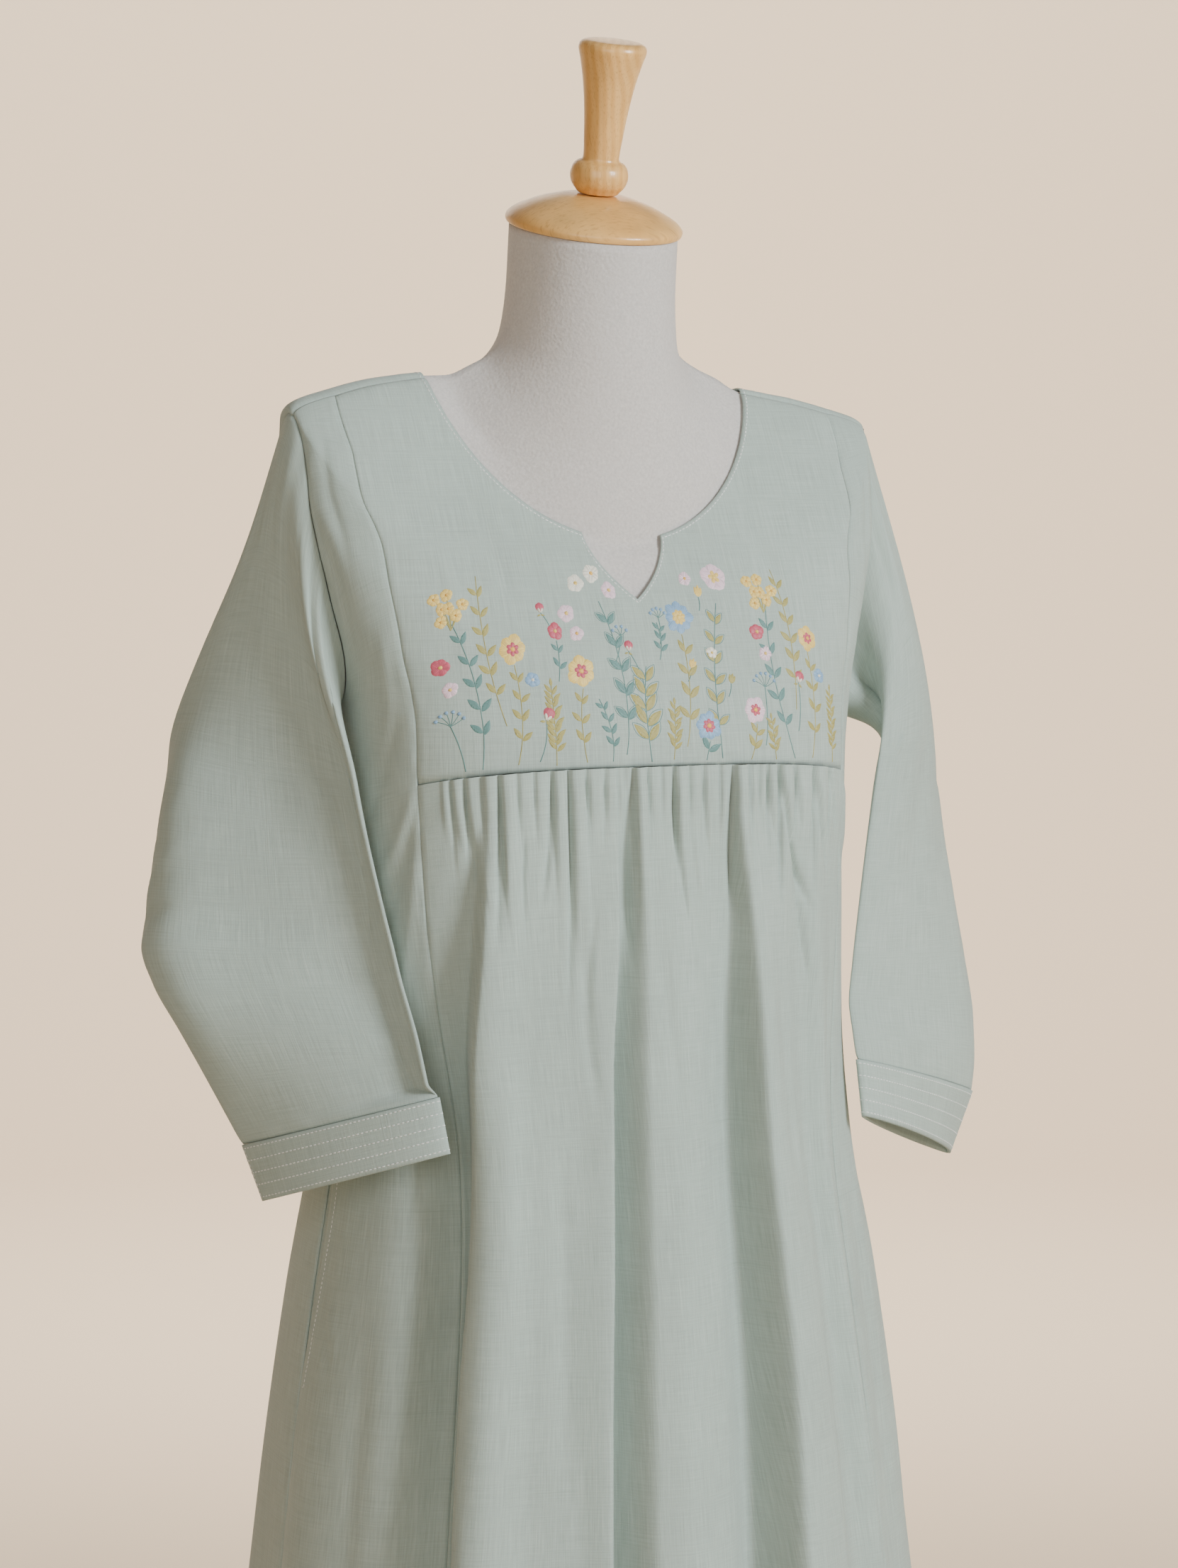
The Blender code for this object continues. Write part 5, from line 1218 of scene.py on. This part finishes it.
embroidery = {
    "colours": {
        "straw": (0.9, 0.62, 0.17), "rose": (0.58, 0.1, 0.15), "blush": (0.84, 0.62, 0.7),
        "sky": (0.25, 0.42, 0.62), "olive": (0.43, 0.38, 0.12), "teal": (0.13, 0.27, 0.25),
        "sun": (0.86, 0.5, 0.1), "ivory": (0.86, 0.82, 0.7),
    },
    # across, up, radius, petals, petal colour, heart colour, turn
    "flowers": (
        (-95, 78, 10.5, 6, "straw", "rose", 10), (-50, 62, 11.0, 6, "straw", "rose", 32),
        (27, 95, 11.5, 8, "sky", "straw", 0), (37, 25, 10.5, 7, "sky", "rose", 20),
        (60, 121, 10.0, 5, "blush", "straw", 18), (74, 35, 9.5, 6, "blush", "rose", 0),
        (124, 84, 9.0, 6, "straw", "rose", 25), (-142, 72, 6.5, 5, "rose", "straw", 0),
        (-137, 57, 5.5, 5, "blush", "straw", 30), (-64, 88, 6.0, 5, "rose", "straw", 12),
        (-54, 99, 6.5, 5, "blush", "straw", 40), (-49, 86, 5.5, 5, "blush", "rose", 5),
        (-43, 118, 6.5, 5, "ivory", "straw", 0), (-30, 124, 6.5, 5, "ivory", "sun", 36),
        (-20, 113, 6.0, 5, "blush", "straw", 18), (84, 86, 6.0, 5, "rose", "straw", 20),
        (88, 72, 5.5, 5, "blush", "straw", 0), (131, 60, 5.0, 5, "sky", "ivory", 15),
        (-84, 58, 5.5, 5, "sky", "ivory", 40), (47, 72, 4.5, 5, "ivory", "straw", 10),
        (38, 120, 5.0, 5, "blush", "sun", 0),
    ),
    # across, up, spread, how many small flowers
    "clusters": ((-134, 108, 11.5, 7), (92, 112, 11.0, 7)),
    # foot across, foot up, top across, top up, bow, leaf pairs, leaf length, leaf colour, edged
    "sprigs": (
        (-120, 4, -133, 98, 6, 5, 8.5, "teal", 0), (-104, 30, -113, 126, -4, 6, 8.0, "olive", 0),
        (-98, 5, -95, 68, 3, 4, 7.5, "olive", 0), (-52, 4, -50, 51, -3, 3, 7.5, "olive", 0),
        (-24, 8, -29, 106, 6, 5, 9.0, "teal", 1), (-6, 3, -3, 64, -3, 5, 11.5, "olive", 1),
        (20, 12, 27, 84, 3, 4, 9.0, "olive", 0), (46, 4, 57, 104, -5, 6, 8.5, "olive", 1),
        (34, 3, 37, 15, 0, 1, 9.0, "teal", 0), (68, 3, 74, 26, 1, 2, 7.5, "olive", 0),
        (104, 4, 94, 102, -6, 5, 8.5, "teal", 0), (108, 36, 104, 128, 4, 6, 8.0, "olive", 0),
        (120, 5, 123, 75, 3, 4, 7.5, "olive", 0), (-66, 56, -64, 82, 1, 2, 6.0, "teal", 0),
        (8, 68, 10, 92, 2, 3, 6.0, "teal", 0), (-34, 4, -40, 44, 3, 4, 6.5, "teal", 0),
    ),
    # foot across, foot up, top across, top up, leaf pairs, leaf length
    "ferns": (
        (-73, 3, -72, 54, 10, 7.5), (141, 4, 140, 52, 9, 6.0), (10, 4, 14, 40, 7, 6.5),
        (88, 3, 86, 30, 5, 6.0),
    ),
    # across, up of the joint, spread, how many berries, foot across, foot up
    "umbels": (
        (-138, 34, 9.0, 6, -130, 4), (84, 50, 9.0, 6, 80, 12), (12, 95, 6.0, 5, 10, 78),
        (-18, 84, 6.0, 4, -25, 66),
    ),
    # across, up, radius, lying towards, foot across, foot up
    "berries": (
        (-78, 32, 4.6, 60, -84, 6), (-14, 74, 3.6, 80, -6, 50), (112, 54, 4.2, 70, 108, 22),
        (-72, 100, 3.4, 90, -66, 84),
    ),
    # across, up, length, leaning, colour
    "buds": (
        (45, 108, 8.5, 80, "straw"), (58, 52, 7.5, 70, "olive"), (-12, 40, 7.0, 110, "olive"),
        (30, 62, 7.5, 66, "straw"),
    ),
    "stem": 0.36, "edge": 0.27, "lift": 0.62, "petal": 1.78, "leaf": 1.25, "levelRise": 0.024,
}


def onYoke(across, up, lift):
    # finds level and angle by a few Newton steps so that the body's point stands at that width and height
    seam = body["yokeSeam"]
    turn = np.linspace(-1.25, 1.25, 301)
    ring = bodyPoint(seam, turn)
    height = np.interp(across, ring[:, 0], ring[:, 2]) + up
    angle = np.interp(across, ring[:, 0], turn)
    level = np.clip(seam - up / embroidery["levelRise"], 2.0, seam)
    for _ in range(5):
        place = bodyPoint(level, angle)
        byLevel = (bodyPoint(level + 0.01, angle) - place) / 0.01
        byAngle = (bodyPoint(level, angle + 0.001) - place) / 0.001
        missX, missZ = across - place[..., 0], height - place[..., 2]
        area = byLevel[..., 0] * byAngle[..., 2] - byAngle[..., 0] * byLevel[..., 2]
        level = np.clip(level + (missX * byAngle[..., 2] - byAngle[..., 0] * missZ) / area, 1.0, seam + 0.2)
        angle = angle + (byLevel[..., 0] * missZ - missX * byLevel[..., 2]) / area
    lift = lift + body["wall"] / 2.0 + creaseDepth(yoke["creases"], across, height)
    return bodyPoint(level, angle) + outward(level, angle) * lift[..., None]


def satinPatches(rows):
    # a petal or leaf grows from its root along its own direction; its half width is a power of a sine of the
    # way along, and it swells like a flattened dome
    units = (0.001, 0.001, math.pi / 180.0, 0.001, 0.001, 0.001, 1.0)
    x, z, turn, length, width, lift, pointed = (np.array(rows, float) * units).T[:, :, None, None]
    v = np.linspace(0.0, 1.0, 7)[None, :, None]
    u = np.linspace(-1.0, 1.0, 7)[None, None, :]
    petal = np.sin(math.pi * v ** 1.25) ** 0.6
    leaf = np.sin(math.pi * v ** 0.85) ** 1.1
    half = width / 2.0 * (petal * (1.0 - pointed) + leaf * pointed)
    along, side = v * length, u * half
    across = x + along * np.cos(turn) - side * np.sin(turn)
    up = z + along * np.sin(turn) + side * np.cos(turn)
    dome = (1.0 - u ** 2) ** 0.6 * np.sin(math.pi * v) ** 0.4
    groove = pointed * 0.35 * np.exp(-(u / 0.3) ** 2)
    height = lift * dome * (1.0 - groove) - 0.00012
    grids = onYoke(across, up, np.broadcast_to(height, across.shape))
    slant = side - pointed * np.abs(side) * 0.8 + pointed * along * 0.5 * np.sign(u)
    return grids, np.stack(np.broadcast_arrays(slant + x * 7.0, along + z * 5.0), axis=-1)


def stemPatches(rows):
    # a half round of floss along a line that bows to one side
    x0, z0, x1, z1, bow, thick = (np.array(rows, float) * 0.001).T[:, :, None, None]
    t = np.linspace(0.0, 1.0, 15)[None, :, None]
    turn = np.linspace(0.0, math.pi, 5)[None, None, :]
    long = np.maximum(np.hypot(x1 - x0, z1 - z0), 1e-6)
    offX, offZ = (z1 - z0) / long, -(x1 - x0) / long
    swing = bow * 4.0 * t * (1.0 - t)
    across = x0 + (x1 - x0) * t + offX * swing + offX * np.cos(turn) * thick
    up = z0 + (z1 - z0) * t + offZ * swing + offZ * np.cos(turn) * thick
    grids = onYoke(across, up, np.broadcast_to(np.sin(turn) * thick - 0.00008, across.shape))
    maps = np.stack(np.broadcast_arrays(np.cos(turn) * thick + x0, t * long), axis=-1)
    return grids, maps


def drawEmbroidery():
    # gathers a row for every petal, leaf, berry and stem under the colour of its floss
    satin, stems = {}, {}
    lift = embroidery["lift"]

    def patch(colour, x, z, turn, length, width, pointed=0.0, raised=lift):
        # one petal, leaf or berry of satin stitch
        satin.setdefault(colour, []).append((x, z, turn, length, width, raised, pointed))

    def stem(colour, x0, z0, x1, z1, bow, thick=embroidery["stem"]):
        # one bowed line of floss
        stems.setdefault(colour, []).append((x0, z0, x1, z1, bow, thick))

    def flower(x, z, radius, petals, colour, heart, turn):
        # petals of slightly uneven reach round a heart
        for k in range(petals):
            way = turn + 360.0 * k / petals
            reach = radius * (0.95 + 0.08 * math.sin(2.3 * k + x))
            width = embroidery["petal"] * radius * math.sin(math.pi / petals)
            patch(colour, x, z, way, reach, width, 0.0, lift * 1.1)
            if radius > 8.0:
                patch(heart, x, z, way + 12.0, radius * 0.5, radius * 0.4, 0.0, lift * 1.5)
        size = radius * (0.42 if radius > 8.0 else 0.5)
        centre = "sun" if heart == "rose" else heart
        patch(centre, x - size / 2.0, z, 0.0, size, size, 0.0, lift * 2.0)

    def leafPairs(x0, z0, x1, z1, bow, pairs, long, colour, edged, narrow=0.42):
        # leaves up both sides of a bowed stem, largest under its middle
        steep = math.degrees(math.atan2(z1 - z0, x1 - x0))
        distance = math.hypot(x1 - x0, z1 - z0)
        for k in range(pairs):
            t = 0.16 + 0.78 * (k + 0.5) / pairs
            swing = bow * 4.0 * t * (1.0 - t)
            x = x0 + (x1 - x0) * t + (z1 - z0) / distance * swing
            z = z0 + (z1 - z0) * t - (x1 - x0) / distance * swing
            size = long * embroidery["leaf"] * (1.08 - 0.45 * abs(t - 0.4))
            for side in (-1.0, 1.0):
                way = steep + side * (40.0 + 9.0 * math.sin(3.1 * k + side + x0))
                lag = 0.0 if side > 0.0 else 1.4
                root = (x - lag * math.cos(math.radians(steep)), z - lag * math.sin(math.radians(steep)))
                patch(colour, *root, way, size, size * narrow, 1.0)
                if edged:
                    tip = (root[0] + 1.06 * size * math.cos(math.radians(way)),
                           root[1] + 1.06 * size * math.sin(math.radians(way)))
                    for bend in (-1.0, 1.0):
                        stem("teal", *root, *tip, bend * size * narrow * 0.56, embroidery["edge"])

    for row in embroidery["flowers"]:
        flower(*row)
    for x, z, spread, count in embroidery["clusters"]:
        for k in range(count):
            way = math.radians(137.5 * k + 40.0)
            out = spread * math.sqrt(k / count)
            flower(x + out * math.cos(way), z + 1.15 * out * math.sin(way), 4.6, 5, "straw", "sun", 31.0 * k)
            tip = (x + 0.8 * out * math.cos(way), z + 0.9 * out * math.sin(way))
            stem("olive", x, z - spread * 1.2, *tip, 0.6)
    for x0, z0, x1, z1, bow, pairs, long, colour, edged in embroidery["sprigs"]:
        stem("teal" if edged else colour, x0, z0, x1, z1, bow)
        leafPairs(x0, z0, x1, z1, bow, pairs, long, colour, edged)
    for x0, z0, x1, z1, pairs, long in embroidery["ferns"]:
        stem("olive", x0, z0, x1, z1, 0.0)
        leafPairs(x0, z0, x1, z1, 0.0, pairs, long, "olive", 0, 0.36)
        patch("olive", x1, z1 - 1.0, 90.0, long * 0.8, long * 0.34, 1.0)
    for x, z, spread, count, footX, footZ in embroidery["umbels"]:
        stem("teal", footX, footZ, x, z, 1.0)
        for k in range(count):
            way = math.radians(90.0 + (k - (count - 1) / 2.0) * 150.0 / count)
            tip = (x + spread * math.cos(way), z + spread * math.sin(way))
            stem("teal", x, z, *tip, 0.4, embroidery["edge"])
            patch("sky", tip[0] - 1.3, tip[1], 0.0, 2.6, 2.6, 0.0, lift * 1.6)
    for x, z, radius, way, footX, footZ in embroidery["berries"]:
        stem("teal", footX, footZ, x, z, 1.5)
        lean = math.radians(way)
        patch("rose", x, z, way, radius * 2.0, radius * 1.9, 0.0, lift * 1.7)
        for turn in (-28.0, 28.0):
            patch("ivory", x, z, way + turn, radius * 1.1, radius * 0.6, 0.0, lift * 1.9)
            foot = (x - math.cos(lean), z - math.sin(lean))
            patch("olive", *foot, way + 4.0 * turn, radius * 0.9, radius * 0.4, 1.0)
    for x, z, long, way, colour in embroidery["buds"]:
        for turn in (-20.0, 0.0, 20.0):
            patch(colour, x, z, way + turn, long * (1.0 - 0.12 * abs(turn) / 20.0), long * 0.42, 0.8)
        stem("teal", x - 9.0 * math.cos(math.radians(way)), z - 9.0 * math.sin(math.radians(way)), x, z, 0.6)
    return satin, stems


satinRows, stemRows = drawEmbroidery()
for colour, shade in embroidery["colours"].items():
    floss = makeThread(colour + "Floss", shade, 0.42)
    for kind, rows, make in (("Satin", satinRows, satinPatches), ("Stem", stemRows, stemPatches)):
        if colour in rows:
            linkPatches(colour + kind, *make(rows[colour]), floss)
            print("embroidery:", colour + kind, len(rows[colour]))
